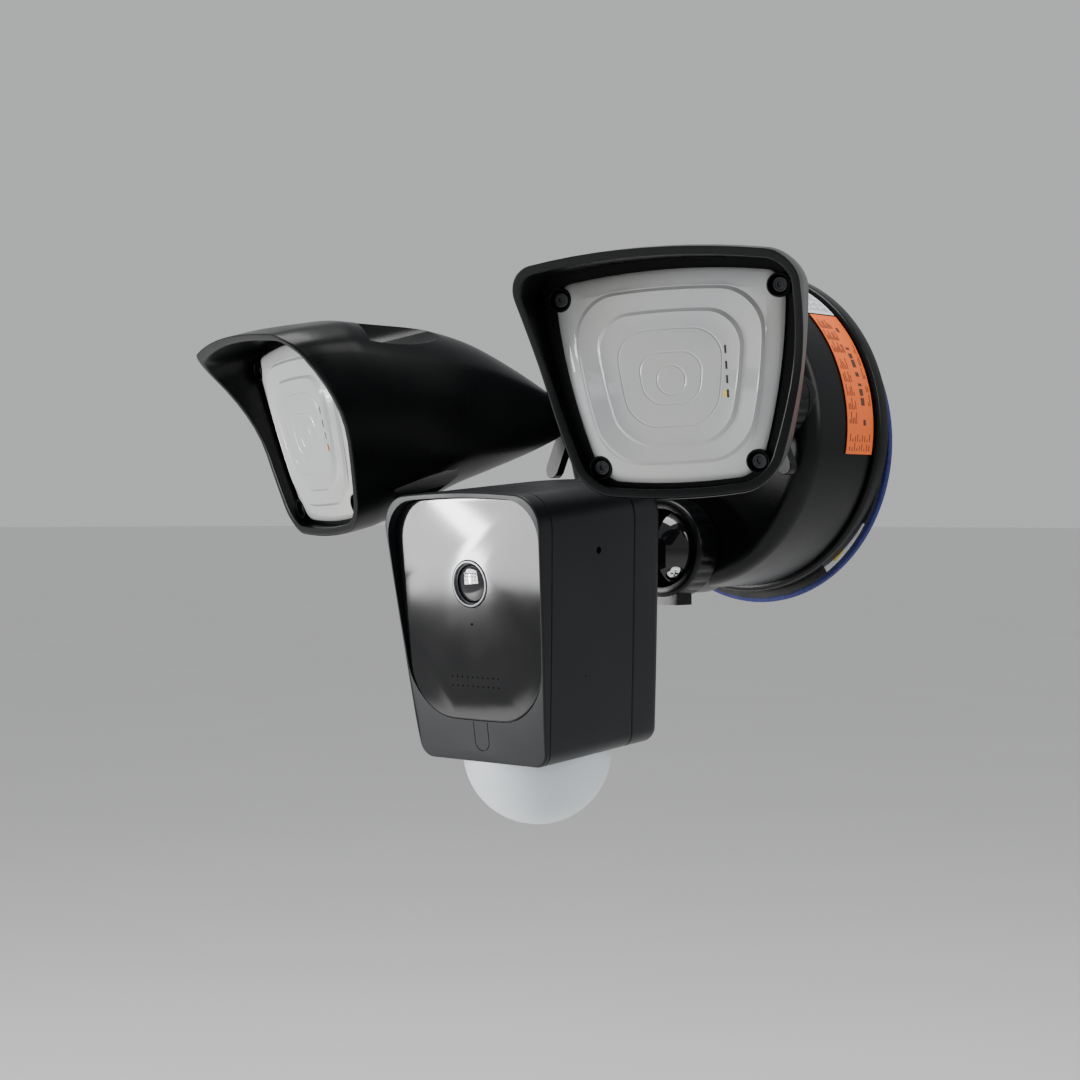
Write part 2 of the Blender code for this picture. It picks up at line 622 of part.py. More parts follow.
def bezel_front(height):
    """The bezel leans back below its crease, and forward above it, to form a rim round the panel."""
    if height < UNIT_CREASE:
        return UNIT_FRONT + 1.2 * (UNIT_CREASE - height) / UNIT_CREASE
    return UNIT_FRONT - RIM_AHEAD * (height - UNIT_CREASE) / (UNIT_HEIGHT - UNIT_CREASE)


def panel_outline(inset=0.0):
    return outline(
        35.9 - inset,
        29.2 - inset,
        88.8 - inset,
        15.6 + inset,
        (2.0, 0.8, 0.5),
        (13.0 - inset, 17.0 - inset),
    )


def make_unit_shells(frame):
    back = UNIT_FRONT + BEZEL_THICK
    places = dict(parent=frame, location=UNIT_FROM_BALL)

    rings = []
    for inset, behind in ((FRONT_EDGE, 0.0), (0.0, FRONT_EDGE)):
        rings.append([(x, bezel_front(z) + behind, z) for x, _, z in unit_section(0, inset)])
    rings.append(unit_section(back - GAP))
    bezel = lofted(rings)
    pocket = lofted([[(x, y, z) for x, z in panel_outline(-GAP)] for y in (UNIT_FRONT - 8, UNIT_FRONT + 1.7)])
    lens_hole = moved(disc(8.6, 20, 40, 16, "FRONT"), (0, 0, LENS_HEIGHT))
    sound_holes = [moved(disc(0.9, 20, 40, 6, "FRONT"), (x, 0, 28)) for x in SOUND_HOLES]
    add("front_bezel", cut(bezel, pocket, lens_hole, dome_pit(), *sound_holes), "unit_shell", **places)

    w = UNIT_WALL
    body = lofted(
        [
            unit_section(back),
            unit_section(SEAM),
            unit_section(SEAM, w),
            unit_section(back + w, w),
        ]
    )
    button_hole = moved(disc(1.2, 25, 50, 10, "X"), (0, *RESET_HOLE))
    lens_hole = moved(disc(8.6, 15, 40, 16, "FRONT"), (0, 0, LENS_HEIGHT))
    sound_holes = [moved(disc(0.9, 20, 40, 6, "FRONT"), (x, 0, 28)) for x in SOUND_HOLES]
    add("unit_body", cut(body, dome_pit(), button_hole, lens_hole, *sound_holes), "unit_shell", **places)

    neck_hole = moved(disc(7.5 + GAP, -40, -20, 20, "FRONT"), (0, 0, -UNIT_FROM_BALL[2]))
    bores = [moved(disc(1.6, -40, -20, 8, "FRONT"), (x, 0, z)) for _, x, z in REAR_SCREWS]
    add("rear_cover", cut(rear_cover_mesh(), dome_pit(), neck_hole, *bores), "unit_shell", **places)


def dome_pit():
    """What the dome takes out of the bottom of the unit's shells."""
    return disc(DOME_RADIUS + GAP, -6, DOME_SKIRT + 0.7, 32)


def rear_cover_mesh():
    """A tray open to the front: from its outer back round the seam edge to its inner back."""
    w = UNIT_WALL
    return lofted(
        [
            unit_section(UNIT_REAR, REAR_EDGE),
            unit_section(UNIT_REAR - 0.27 * REAR_EDGE, 0.35 * REAR_EDGE),
            unit_section(UNIT_REAR - REAR_EDGE),
            unit_section(SEAM + GAP),
            unit_section(SEAM + GAP, w),
            unit_section(UNIT_REAR - w - 3.4, w),
            unit_section(UNIT_REAR - w, REAR_EDGE + 1.1),
        ]
    )


def make_unit_front(frame):
    places = dict(parent=frame, location=UNIT_FROM_BALL)
    front = UNIT_FRONT - 0.2
    rings = [[(x, front + y, z) for x, z in panel_outline(inset)] for y, inset in ((0, 0.5), (0.4, 0.0), (1.5, 0.0))]
    lens_hole = moved(disc(8.3, 20, 40, 18, "FRONT"), (0, 0, LENS_HEIGHT))
    rows = [moved(disc(0.45, 20, 40, 6, "FRONT"), (x, 0, z)) for z in SOUND_ROWS for x in SOUND_HOLES]
    add("front_panel", cut(lofted(rings), lens_hole, *rows), "gloss_black", **places)

    centre = (0, 0, LENS_HEIGHT)
    ring = [(6.6, 26.5), (8.0, 26.5), (8.0, 28.9), (7.6, 29.2), (6.9, 29.2), (6.6, 28.6)]
    add("lens_ring", moved(turned(ring, 18, "FRONT"), centre), "steel", **places)
    glass = [(0.0, 25.6), (6.3, 25.6), (6.3, 27.4), (4.6, 28.1), (2.4, 28.5), (0.0, 28.7)]
    add("camera_lens", moved(turned(glass, 20, "FRONT"), centre), "camera_glass", **places)
    barrel = [(0.0, 12.6), (9.5, 12.6), (9.5, 17.0), (7.6, 17.0), (7.6, 25.3), (0.0, 25.3)]
    add("camera_module", moved(turned(barrel, 16, "FRONT"), centre), "gloss_black", **places)
    add("main_board", block((50, 1.6, 62), (0, -11.5, 52)), "board_green", **places)
    cone = [(0.0, 14.0), (6.0, 14.0), (6.0, 18.0), (10.0, 20.5), (10.0, 22.2), (0.0, 22.2)]
    add("speaker", moved(turned(cone, 16, "FRONT"), (0, 0, 30)), "rubber", **places)
    button = [(0.0, 24.0), (2.6, 24.0), (2.6, 26.0), (0.9, 26.0), (0.9, 34.4), (0.0, 34.4)]
    return moved(turned(button, 10, "X"), (0, *RESET_HOLE))


def make_sensor(frame):
    places = dict(parent=frame, location=UNIT_FROM_BALL)
    inner = DOME_RADIUS - 1.4
    outside = arc(DOME_RADIUS, 0, -90, 7)[:-1]
    inside = arc(inner, -90, 0, 4)[1:]
    profile = [(DOME_RADIUS, DOME_SKIRT), *outside, (0.0, -DOME_RADIUS), (0.0, -inner), *inside, (inner, DOME_SKIRT)]
    dome = turned_cup(profile, 32)
    dome.transform(Matrix.Rotation(math.radians(-90), 4, "X"))
    add("sensor_dome", dome, "dome_white", **places)
    ring = [(18.0, 3.6), (inner - GAP, 3.6), (inner - GAP, 5.8), (18.0, 5.8)]
    add("dome_retainer", turned(ring, 20), "shell", **places)
    add("sensor_board", block((24, 24, 1.6), (0, 0, 11.0)), "board_green", **places)
    can = [(0.0, 2.0), (4.2, 2.0), (4.6, 2.6), (4.6, 9.9), (0.0, 9.9)]
    add("motion_sensor", turned(can, 14), "steel", **places)


def make_unit(frame):
    make_unit_shells(frame)
    button = make_unit_front(frame)
    make_sensor(frame)
    add("reset_button", button, "shell", frame, UNIT_FROM_BALL)
    screw = screw_mesh(2.9, 1.5, 1.3, 6.0)
    screw.transform(Matrix.Rotation(math.radians(-90), 4, "X"))
    for place, x, z in REAR_SCREWS:
        seat = (UNIT_FROM_BALL[0] + x, UNIT_FROM_BALL[1] + UNIT_REAR + GAP, UNIT_FROM_BALL[2] + z)
        add(f"rear_screw_{place}", screw, "steel", frame, seat)


def main():
    clear_scene()
    make_base()
    for side, name, turn in ((-1, "left", LEFT_LAMP_TURN), (1, "right", RIGHT_LAMP_TURN)):
        ball = (side * LAMP_BALL[0], LAMP_BALL[1], LAMP_BALL[2])
        frame = add_empty(f"{name}_lamp_frame", ball, turn)
        make_lamp_joint(side, name, turn)
        make_lamp(name, frame)
    frame = add_empty("camera_unit_frame", CAMERA_BALL, (0.0, CAMERA_PITCH, 0.0))
    make_camera_joint(frame)
    make_unit(frame)


main()
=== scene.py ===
import json
import math

import bmesh
import bpy
from mathutils import Matrix, Vector


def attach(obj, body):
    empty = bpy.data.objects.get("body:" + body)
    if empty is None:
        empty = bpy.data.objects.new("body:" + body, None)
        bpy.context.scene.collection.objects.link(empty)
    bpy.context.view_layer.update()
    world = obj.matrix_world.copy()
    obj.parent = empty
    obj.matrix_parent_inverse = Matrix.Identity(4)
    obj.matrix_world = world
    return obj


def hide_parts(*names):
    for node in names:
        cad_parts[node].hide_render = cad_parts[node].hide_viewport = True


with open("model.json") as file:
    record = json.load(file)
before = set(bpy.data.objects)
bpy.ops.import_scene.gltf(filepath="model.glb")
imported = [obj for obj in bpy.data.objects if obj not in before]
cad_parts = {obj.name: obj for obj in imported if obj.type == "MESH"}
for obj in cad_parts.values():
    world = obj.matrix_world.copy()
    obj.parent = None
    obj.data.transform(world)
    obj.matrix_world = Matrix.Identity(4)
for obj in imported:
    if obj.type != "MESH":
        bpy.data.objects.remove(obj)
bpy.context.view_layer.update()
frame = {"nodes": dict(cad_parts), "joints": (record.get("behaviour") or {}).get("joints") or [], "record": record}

# Sizes are in millimetres, in the frame of each group of pieces, as in the CAD model.
MM = 0.001
GAP = 0.3
SMOOTH = 72
CORNER_STEPS = 9
JOINTS = {joint["name"]: joint for joint in frame["joints"]}


def turn(axis, degrees):
    return Matrix.Rotation(math.radians(degrees), 4, axis)


def shift(x, y, z):
    return Matrix.Translation(Vector((x, y, z)) * MM)


def ball_place(name):
    """A frame at a ball's centre, along the wall's axes."""
    return Matrix.Translation(Vector(JOINTS[f"{name}_tilt"]["pos_m"]))


def pan_frame(name):
    """The frame of a ball, turned as its tilt axis lies."""
    across = Vector(JOINTS[f"{name}_tilt"]["axis"])
    return ball_place(name) @ Matrix.Rotation(math.atan2(across.y, across.x), 4, "Z")


# How each lamp is pitched and rolled at rest, in degrees. The camera unit is only pitched.
LAMP_TURNS = {"left": (13.5, -1.61), "right": (6.78, -1.88)}
UNIT_PITCH = 4.88
UNIT_FROM_BALL = (0.0, -77.8, -63.4)
UNIT_BACK_FROM_BALL = 45.8


def lamp_frame(side):
    pitch, roll = LAMP_TURNS[side]
    return pan_frame(side) @ turn("X", pitch) @ turn("Y", roll)


UNIT_JOINT = ball_place("camera") @ turn("X", UNIT_PITCH)
UNIT = UNIT_JOINT @ shift(*UNIT_FROM_BALL)


# Meshes

def mesh_from(points, faces, name="shape"):
    mesh = bpy.data.meshes.new(name)
    mesh.from_pydata([Vector(p) * MM for p in points], [], faces)
    form = bmesh.new()
    form.from_mesh(mesh)
    bmesh.ops.recalc_face_normals(form, faces=form.faces)
    form.to_mesh(mesh)
    form.free()
    return mesh


def turned(profile, segments=SMOOTH, axis="Z", ripple=None):
    """A body turned from (radius, height) points.

    Where the profile starts and ends on the axis the body is solid; otherwise it closes on itself.
    ripple(radius, height, angle), if given, is the radius to use in place of the profile's own.
    """
    points = []
    rings = []
    for radius, height in profile:
        if radius == 0.0:
            rings.append([len(points)])
            points.append((0.0, 0.0, height))
            continue
        rings.append(list(range(len(points), len(points) + segments)))
        for i in range(segments):
            angle = math.tau * (i + 0.5) / segments
            reach = ripple(radius, height, angle) if ripple else radius
            points.append((reach * math.cos(angle), reach * math.sin(angle), height))
    pairs = list(zip(rings, rings[1:] + rings[:1]))
    faces = []
    for low, high in pairs:
        if len(low) == len(high) == 1:
            continue
        for i in range(segments):
            j = (i + 1) % segments
            face = (low[i % len(low)], low[j % len(low)], high[j % len(high)], high[i % len(high)])
            faces.append(tuple(dict.fromkeys(face)))
    order = {"Z": (0, 1, 2), "FRONT": (0, 2, 1), "X": (2, 0, 1)}[axis]
    sign = -1.0 if axis == "FRONT" else 1.0
    points = [(p[order[0]], p[order[1]] * sign, p[order[2]]) for p in points]
    return mesh_from(points, faces)


def disc(radius, low, high, segments=40, axis="Z"):
    return turned([(0.0, low), (radius, low), (radius, high), (0.0, high)], segments, axis)


def lofted(rings):
    """Quads between rings of equal length, with the first and the last ring capped."""
    count = len(rings[0])
    points = [p for ring in rings for p in ring]
    faces = []
    for a in range(0, (len(rings) - 1) * count, count):
        b = a + count
        for i in range(count):
            j = (i + 1) % count
            faces.append((a + i, a + j, b + j, b + i))
    last = (len(rings) - 1) * count
    faces.append(tuple(range(count)))
    faces.append(tuple(range(last, last + count)))
    return mesh_from(points, faces)


def arc(radius, start, end, steps, centre=(0.0, 0.0)):
    angles = [math.radians(start + (end - start) * i / steps) for i in range(steps + 1)]
    return [(centre[0] + radius * math.cos(a), centre[1] + radius * math.sin(a)) for a in angles]


def block(size, centre):
    half = [s / 2 for s in size]
    signs = [(x, y, z) for z in (-1, 1) for y in (-1, 1) for x in (-1, 1)]
    points = [[c + s * h for c, s, h in zip(centre, sign, half)] for sign in signs]
    faces = [(0, 2, 3, 1), (4, 5, 7, 6), (0, 1, 5, 4), (2, 6, 7, 3), (0, 4, 6, 2), (1, 3, 7, 5)]
    return mesh_from(points, faces)


def outline(half_top, half_bottom, top, bottom, bows, radii, side_steps=10):
    """(x, z) points of a rounded trapezoid. bows are how far top, bottom and sides bulge at their middles."""
    half_height = (top - bottom) / 2
    corners = []
    for k, (sign_u, sign_v) in enumerate(((1, 1), (-1, 1), (-1, -1), (1, -1))):
        half = half_top if sign_v > 0 else half_bottom
        radius = radii[0] if sign_v > 0 else radii[1]
        in_u = radius / half
        in_v = radius / half_height
        centre = (sign_u * (1 - in_u), sign_v * (1 - in_v))
        quarter = arc(1, 90 * k, 90 * k + 90, CORNER_STEPS)
        corners.append([(centre[0] + in_u * c, centre[1] + in_v * s) for c, s in quarter])
    unit = []
    for corner, after in zip(corners, corners[1:] + corners[:1]):
        unit += corner
        for i in range(1, side_steps):
            share = i / side_steps
            unit.append(tuple(a + (b - a) * share for a, b in zip(corner[-1], after[0])))
    points = []
    for u, v in unit:
        up = (v + 1) / 2
        half = half_bottom + (half_top - half_bottom) * up + bows[2] * (1 - v * v)
        low = bottom - bows[1] * (1 - u * u)
        high = top + bows[0] * (1 - u * u)
        points.append((u * half, low + (high - low) * up))
    return points


def at_depth(points, y):
    return [(x, y, z) for x, z in points]


def new_object(name, data):
    obj = bpy.data.objects.new(name, data)
    bpy.context.scene.collection.objects.link(obj)
    return obj


def combined(mesh, others, operation):
    """The mesh with others cut from it (DIFFERENCE) or joined to it (UNION)."""
    obj = new_object("work", mesh)
    helpers = []
    for other in others:
        helper = new_object("helper", other)
        modifier = obj.modifiers.new("step", "BOOLEAN")
        modifier.operation = operation
        modifier.solver = "EXACT"
        modifier.object = helper
        helpers.append(helper)
    graph = bpy.context.evaluated_depsgraph_get()
    result = bpy.data.meshes.new_from_object(obj.evaluated_get(graph))
    for leftover in [obj, *helpers]:
        bpy.data.objects.remove(leftover)
    return result


def cut(mesh, *cutters):
    return combined(mesh, cutters, "DIFFERENCE")


def joined(mesh, *others):
    return combined(mesh, others, "UNION")


def moved(mesh, offset=(0, 0, 0), rotation=None):
    mesh.transform(shift(*offset) @ (rotation or Matrix.Identity(4)))
    return mesh


def place(name, mesh, surface, body, where=None, replaces=(), sharp=30):
    """Makes a piece of a mesh: puts it in place, gives it its material and lets it ride on its body."""
    if where:
        mesh.transform(where)
    mesh.name = name
    mesh.materials.clear()
    mesh.materials.append(surface)
    mesh.shade_smooth()
    mesh.set_sharp_from_angle(angle=math.radians(sharp))
    obj = new_object(name, mesh)
    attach(obj, body)
    if replaces:
        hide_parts(*replaces)


# Materials

def node_material(name, colour, roughness, metallic=0.0, coat=0.0, coat_roughness=0.03):
    surface = bpy.data.materials.new(name)
    surface.use_nodes = True
    shader = surface.node_tree.nodes["Principled BSDF"]
    shader.inputs["Base Color"].default_value = (*colour, 1.0)
    shader.inputs["Roughness"].default_value = roughness
    shader.inputs["Metallic"].default_value = metallic
    shader.inputs["Coat Weight"].default_value = coat
    shader.inputs["Coat Roughness"].default_value = coat_roughness
    return surface, shader


# The part of a noise's range that holds nearly all of its values.
NOISE_SPAN = (0.3, 0.7)


def noise(surface, scale, detail):
    """The value of a noise over the piece. scale is in features per metre."""
    nodes = surface.node_tree.nodes
    position = nodes.new("ShaderNodeTexCoord").outputs["Object"]
    texture = nodes.new("ShaderNodeTexNoise")
    texture.inputs["Scale"].default_value = scale
    texture.inputs["Detail"].default_value = detail
    surface.node_tree.links.new(position, texture.inputs["Vector"])
    return texture.outputs["Fac"]


def vary_colour(surface, shader, factor, dark, light):
    ramp = surface.node_tree.nodes.new("ShaderNodeValToRGB")
    for element, position, colour in zip(ramp.color_ramp.elements, NOISE_SPAN, (dark, light)):
        element.position = position
        element.color = (*colour, 1.0)
    surface.node_tree.links.new(factor, ramp.inputs["Fac"])
    surface.node_tree.links.new(ramp.outputs["Color"], shader.inputs["Base Color"])


def vary_roughness(surface, shader, factor, low, high):
    span = surface.node_tree.nodes.new("ShaderNodeMapRange")
    span.inputs["From Min"].default_value, span.inputs["From Max"].default_value = NOISE_SPAN
    span.inputs["To Min"].default_value = low
    span.inputs["To Max"].default_value = high
    surface.node_tree.links.new(factor, span.inputs["Value"])
    surface.node_tree.links.new(span.outputs["Result"], shader.inputs["Roughness"])


def grain(surface, shader, factor, strength, depth):
    """Fine relief, depth in millimetres."""
    bump = surface.node_tree.nodes.new("ShaderNodeBump")
    bump.inputs["Strength"].default_value = strength
    bump.inputs["Distance"].default_value = depth * MM
    surface.node_tree.links.new(factor, bump.inputs["Height"])
    surface.node_tree.links.new(bump.outputs["Normal"], shader.inputs["Normal"])


def plastic(name, dark, light, roughness, grains=2600, depth=0.012, shine=0.5):
    """Moulded plastic: soft changes of tone, a band of roughness and a fine spark-eroded grain."""
    surface, shader = node_material(name, dark, roughness[0])
    shader.inputs["Specular IOR Level"].default_value = shine
    vary_colour(surface, shader, noise(surface, 35, 4), dark, light)
    vary_roughness(surface, shader, noise(surface, 60, 5), *roughness)
    if depth:
        grain(surface, shader, noise(surface, grains, 2), 0.5, depth)
    return surface


def metal(name, dark, light, roughness, scale=900):
    """Plated or cast metal, with soft changes of tone and polish."""
    surface, shader = node_material(name, dark, roughness[0], metallic=1.0)
    cloudy = noise(surface, scale, 4)
    vary_colour(surface, shader, cloudy, dark, light)
    vary_roughness(surface, shader, cloudy, *roughness)
    return surface


# Each takes a dark and a light tone, and the band of roughness.
SATIN_BLACK = plastic("satin_black", (0.0022, 0.0025, 0.003), (0.0036, 0.004, 0.0046), (0.26, 0.34),
                      depth=0.005, shine=0.2)
CHARCOAL = plastic("charcoal", (0.0062, 0.0072, 0.0088), (0.0082, 0.0094, 0.0114), (0.36, 0.44),
                   3200, 0.01, shine=0.28)
GLOSS_BLACK = plastic("gloss_black", (0.0035, 0.0035, 0.004), (0.005, 0.005, 0.006), (0.05, 0.075), depth=0.0)
PIANO_BLACK = plastic("piano_black", (0.003, 0.003, 0.0036), (0.004, 0.004, 0.005), (0.07, 0.1), depth=0.0)
RUBBER = plastic("rubber", (0.012, 0.012, 0.012), (0.02, 0.02, 0.02), (0.7, 0.85), 1500, 0.03)
WHITE = plastic("white_plastic", (0.72, 0.73, 0.74), (0.8, 0.8, 0.8), (0.35, 0.5), depth=0.01)
BOARD = plastic("solder_resist", (0.012, 0.1, 0.045), (0.02, 0.15, 0.065), (0.3, 0.45), 1200, 0.01)
ORANGE_FILM = plastic("orange_film", (0.86, 0.13, 0.012), (0.92, 0.16, 0.016), (0.34, 0.42), depth=0.004)
WHITE_FILM = plastic("white_film", (0.66, 0.69, 0.72), (0.72, 0.75, 0.78), (0.34, 0.42), depth=0.004)
YELLOW_FILM = plastic("yellow_film", (0.75, 0.5, 0.08), (0.82, 0.56, 0.1), (0.3, 0.4), depth=0.004)
# Painted reflection: the flat grey of small squares on the camera's lens glass, which stand for a grid reflected
# in it.
PAINTED_REFLECTION = plastic("painted_grid_reflection", (0.2, 0.17, 0.18), (0.28, 0.24, 0.25), (0.3, 0.4), depth=0.0)
INK = plastic("printing_ink", (0.05, 0.02, 0.012), (0.08, 0.03, 0.02), (0.4, 0.5), depth=0.0)
GREY_INK = plastic("grey_ink", (0.16, 0.17, 0.18), (0.22, 0.23, 0.24), (0.4, 0.5), depth=0.0)
STEEL = metal("zinc_plate", (0.42, 0.43, 0.44), (0.6, 0.6, 0.61), (0.25, 0.42))
CHROME = metal("chrome_plate", (0.66, 0.67, 0.68), (0.75, 0.76, 0.77), (0.06, 0.14))
BLACK_OXIDE = metal("black_oxide", (0.05, 0.052, 0.055), (0.09, 0.092, 0.095), (0.28, 0.4))
RING_METAL = metal("satin_ring", (0.12, 0.125, 0.13), (0.17, 0.175, 0.18), (0.3, 0.4))
ALUMINIUM = metal("cast_aluminium", (0.5, 0.5, 0.51), (0.62, 0.62, 0.63), (0.4, 0.55), scale=500)


def foam_material():
    """Closed cell foam: small cells over a deep blue."""
    surface, shader = node_material("blue_foam", (0.012, 0.018, 0.12), 0.75)
    nodes = surface.node_tree.nodes
    cells = nodes.new("ShaderNodeTexVoronoi")
    cells.inputs["Scale"].default_value = 1500
    surface.node_tree.links.new(nodes.new("ShaderNodeTexCoord").outputs["Object"], cells.inputs["Vector"])
    vary_colour(surface, shader, noise(surface, 500, 3), (0.01, 0.014, 0.1), (0.018, 0.026, 0.16))
    grain(surface, shader, cells.outputs["Distance"], 0.6, 0.08)
    return surface


def lens_material():
    """A frosted diffuser under a polished face, in slightly cooler and warmer patches."""
    surface, shader = node_material("frosted_lens", (0.5, 0.5, 0.49), 0.32, coat=1.0, coat_roughness=0.02)
    vary_colour(surface, shader, noise(surface, 22, 2), (0.42, 0.435, 0.45), (0.49, 0.485, 0.47))
    vary_roughness(surface, shader, noise(surface, 80, 3), 0.28, 0.36)
    shader.inputs["Subsurface Weight"].default_value = 0.15
    shader.inputs["Subsurface Radius"].default_value = (0.004, 0.004, 0.004)
    return surface


def dome_material():
    """Frosted plastic that lets a little light through."""
    surface, shader = node_material("frosted_dome", (0.62, 0.68, 0.72), 0.38, coat=0.3, coat_roughness=0.25)
    vary_colour(surface, shader, noise(surface, 30, 2), (0.6, 0.66, 0.7), (0.66, 0.71, 0.75))
    vary_roughness(surface, shader, noise(surface, 120, 3), 0.36, 0.44)
    shader.inputs["Subsurface Weight"].default_value = 0.25
    shader.inputs["Subsurface Radius"].default_value = (0.005, 0.005, 0.005)
    return surface


def glass_material():
    """Dark, polished glass with a faint violet coating."""
    surface, shader = node_material("coated_glass", (0.004, 0.004, 0.007), 0.03,
                                    coat=1.0, coat_roughness=0.01)
    vary_colour(surface, shader, noise(surface, 90, 2), (0.003, 0.003, 0.006), (0.008, 0.006, 0.012))
    shader.inputs["Specular IOR Level"].default_value = 0.7
    return surface


FOAM = foam_material()
LENS = lens_material()
DOME = dome_material()
CAMERA_GLASS = glass_material()

SLOT_MATERIALS = {
    "shell": SATIN_BLACK,
    "unit_shell": CHARCOAL,
    "gloss_black": GLOSS_BLACK,
    "steel": STEEL,
    "chrome": CHROME,
    "aluminium": ALUMINIUM,
    "blue_foam": FOAM,
    "rubber": RUBBER,
    "orange": ORANGE_FILM,
    "white": WHITE,
    "lens_clear": LENS,
    "board_green": BOARD,
    "dome_white": DOME,
    "camera_glass": CAMERA_GLASS,
}


# The wall plate gets the dark rubber material in place of steel, unlike the other steel pieces, so that it shows
# no bright reflection.
NODE_MATERIALS = {"wall_plate": RUBBER}


def finish_cad_nodes():
    """Every CAD piece that is carried over gets a material of its own, or that of its slot."""
    for part in frame["record"]["subparts"]:
        obj = frame["nodes"][part["node"]]
        obj.data.materials.clear()
        obj.data.materials.append(NODE_MATERIALS.get(part["node"], SLOT_MATERIALS[part["material_slot"]]))
        obj.data.shade_smooth()
        obj.data.set_sharp_from_angle(angle=math.radians(30))


# Screws

SCREW_SEGMENTS = 32


def shank_profile(radius, length):
    """The side of a screw's shank, from its chamfered end up to the head's underside at 0."""
    return [(0.0, -length), (radius - 0.2, -length), (radius, -length + 0.3), (radius, 0.0)]


def socket_screw_mesh(head_radius, head_height, shank_radius, length):
    """A cap screw along +Z with a six sided socket and a rounded edge."""
    edge = 0.25 * head_height
    face = head_height * 0.9
    profile = shank_profile(shank_radius, length) + [(head_radius, 0.0)]
    profile += arc(edge, 0, 90, 4, (head_radius - edge, head_height - edge))
    profile += [(head_radius * 0.62, head_height), (head_radius * 0.56, face), (0.0, face)]
    socket = disc(head_radius * 0.42, 0.3 * head_height, head_height + 1, 6)
    return cut(turned(profile, SCREW_SEGMENTS), socket)


def cross_screw_mesh(head_radius, head_height, shank_radius, length):
    """A pan head screw along +Z with a cross recess that narrows to its bottom."""
    rim_share = 0.35
    profile = shank_profile(shank_radius, length) + [(head_radius, 0.0)]
    for angle in (math.radians(degrees) for degrees in range(0, 85, 12)):
        height = head_height * (rim_share + (1 - rim_share) * math.sin(angle))
        profile.append((head_radius * math.cos(angle), height))
    profile.append((0.0, head_height))
    cross = []
    reach = head_radius * 0.58
    arm = head_radius * 0.14
    for quarter in range(4):
        turned_by = Matrix.Rotation(math.radians(90 * quarter), 2)
        cross += [tuple(turned_by @ Vector(corner)) for corner in ((reach, arm), (arm, arm), (arm, reach))]
    levels = ((0.25 * head_height, 0.6), (head_height + 1, 1.25))
    recess = lofted([[(x * share, y * share, z) for x, y in cross] for z, share in levels])
    return cut(turned(profile, SCREW_SEGMENTS), recess)


def pointing(axis):
    """The turn that brings +Z to an axis."""
    return Vector(axis).to_track_quat("Z", "Y").to_matrix().to_4x4()


FACING_FRONT = turn("X", 90)
FACING_WALL = turn("X", -90)

# Base. Depths are distances in front of the wall.

# The flange: its radius, and the depths of its back and front.
FLANGE = (62.5, 3.7, 10.2)
FLANGE_ROUNDING = 1.6
FLANGE_EDGE = 0.5
DRUM_RADIUS = 60.2
DRUM_FRONT = 50.0
DRUM_FILLET = 7.0
DRUM_WALL = 2.6
SEAL_DROP = 5.0
PLATE_DEPTH = 3.4
CASE_SCREWS = ((-24.1, 34.4), (24.1, -34.4))
CASE_SCREW_BOSS = 4.5
CASE_SCREW_BORE = 1.7
# The socket of each ball joint in the drum: outer radius, bore, and the depth at which it starts.
SOCKETS = {"left": (13.9, 11.4, 40.0), "right": (13.9, 11.4, 40.0), "camera": (17.2, 13.7, 37.0)}
LABEL_DEPTHS = (11.3, 28.0)
# The angles that each label covers, in degrees from +X towards +Z.
ORANGE_LABEL = (-9.6, 44.0)
WHITE_LABEL = (44.8, 60.0)
LABEL_LIFT = 0.28
LABEL_THICK = 0.22
PRINT_LIFT = 0.49
PRINT_THICK = 0.06


def make_drum():
    """The drum with its flange, a fine groove between them, the joints' sockets and the screw bosses."""
    radius, back, front = FLANGE
    inner = DRUM_RADIUS - DRUM_WALL
    floor = DRUM_FRONT - DRUM_WALL
    centre = (DRUM_RADIUS - DRUM_FILLET, DRUM_FRONT - DRUM_FILLET)
    groove = DRUM_RADIUS - 0.55
    profile = [(radius - FLANGE_EDGE, back)]
    profile += arc(FLANGE_EDGE, -90, 0, 3, (radius - FLANGE_EDGE, back + FLANGE_EDGE))
    profile += arc(FLANGE_ROUNDING, 0, 90, 6, (radius - FLANGE_ROUNDING, front - FLANGE_ROUNDING))
    profile += [(DRUM_RADIUS + 0.15, front), (groove, front + 0.1), (groove, front + 0.8)]
    profile += [(DRUM_RADIUS, front + 1.0), (DRUM_RADIUS, 27.0)]
    profile += arc(DRUM_FILLET, 0, 90, 14, centre)
    profile += [(30.0, DRUM_FRONT), (0.0, DRUM_FRONT), (0.0, floor)]
    profile += arc(DRUM_FILLET - DRUM_WALL, 90, 0, 6, centre)
    profile += [(inner, back)]
    holes = []
    bosses = []
    for name, (outer, bore, start) in SOCKETS.items():
        ball = Vector(JOINTS[f"{name}_tilt"]["pos_m"]) / MM
        bosses.append(moved(disc(outer, start, DRUM_FRONT - 0.7, 48, "FRONT"), (ball.x, 0, ball.z)))
        holes.append(moved(disc(bore, start - 10, 60, 48, "FRONT"), (ball.x, 0, ball.z)))
    for x, z in CASE_SCREWS:
        bosses.append(moved(disc(CASE_SCREW_BOSS, back, floor + 1, 20, "FRONT"), (x, 0, z)))
        holes.append(moved(disc(CASE_SCREW_BORE, 1, 20, 16, "FRONT"), (x, 0, z)))
    drum = cut(joined(turned(profile, 160, "FRONT"), *bosses), *holes)
    place("base_drum", drum, SATIN_BLACK, "base", replaces=["base_housing"])


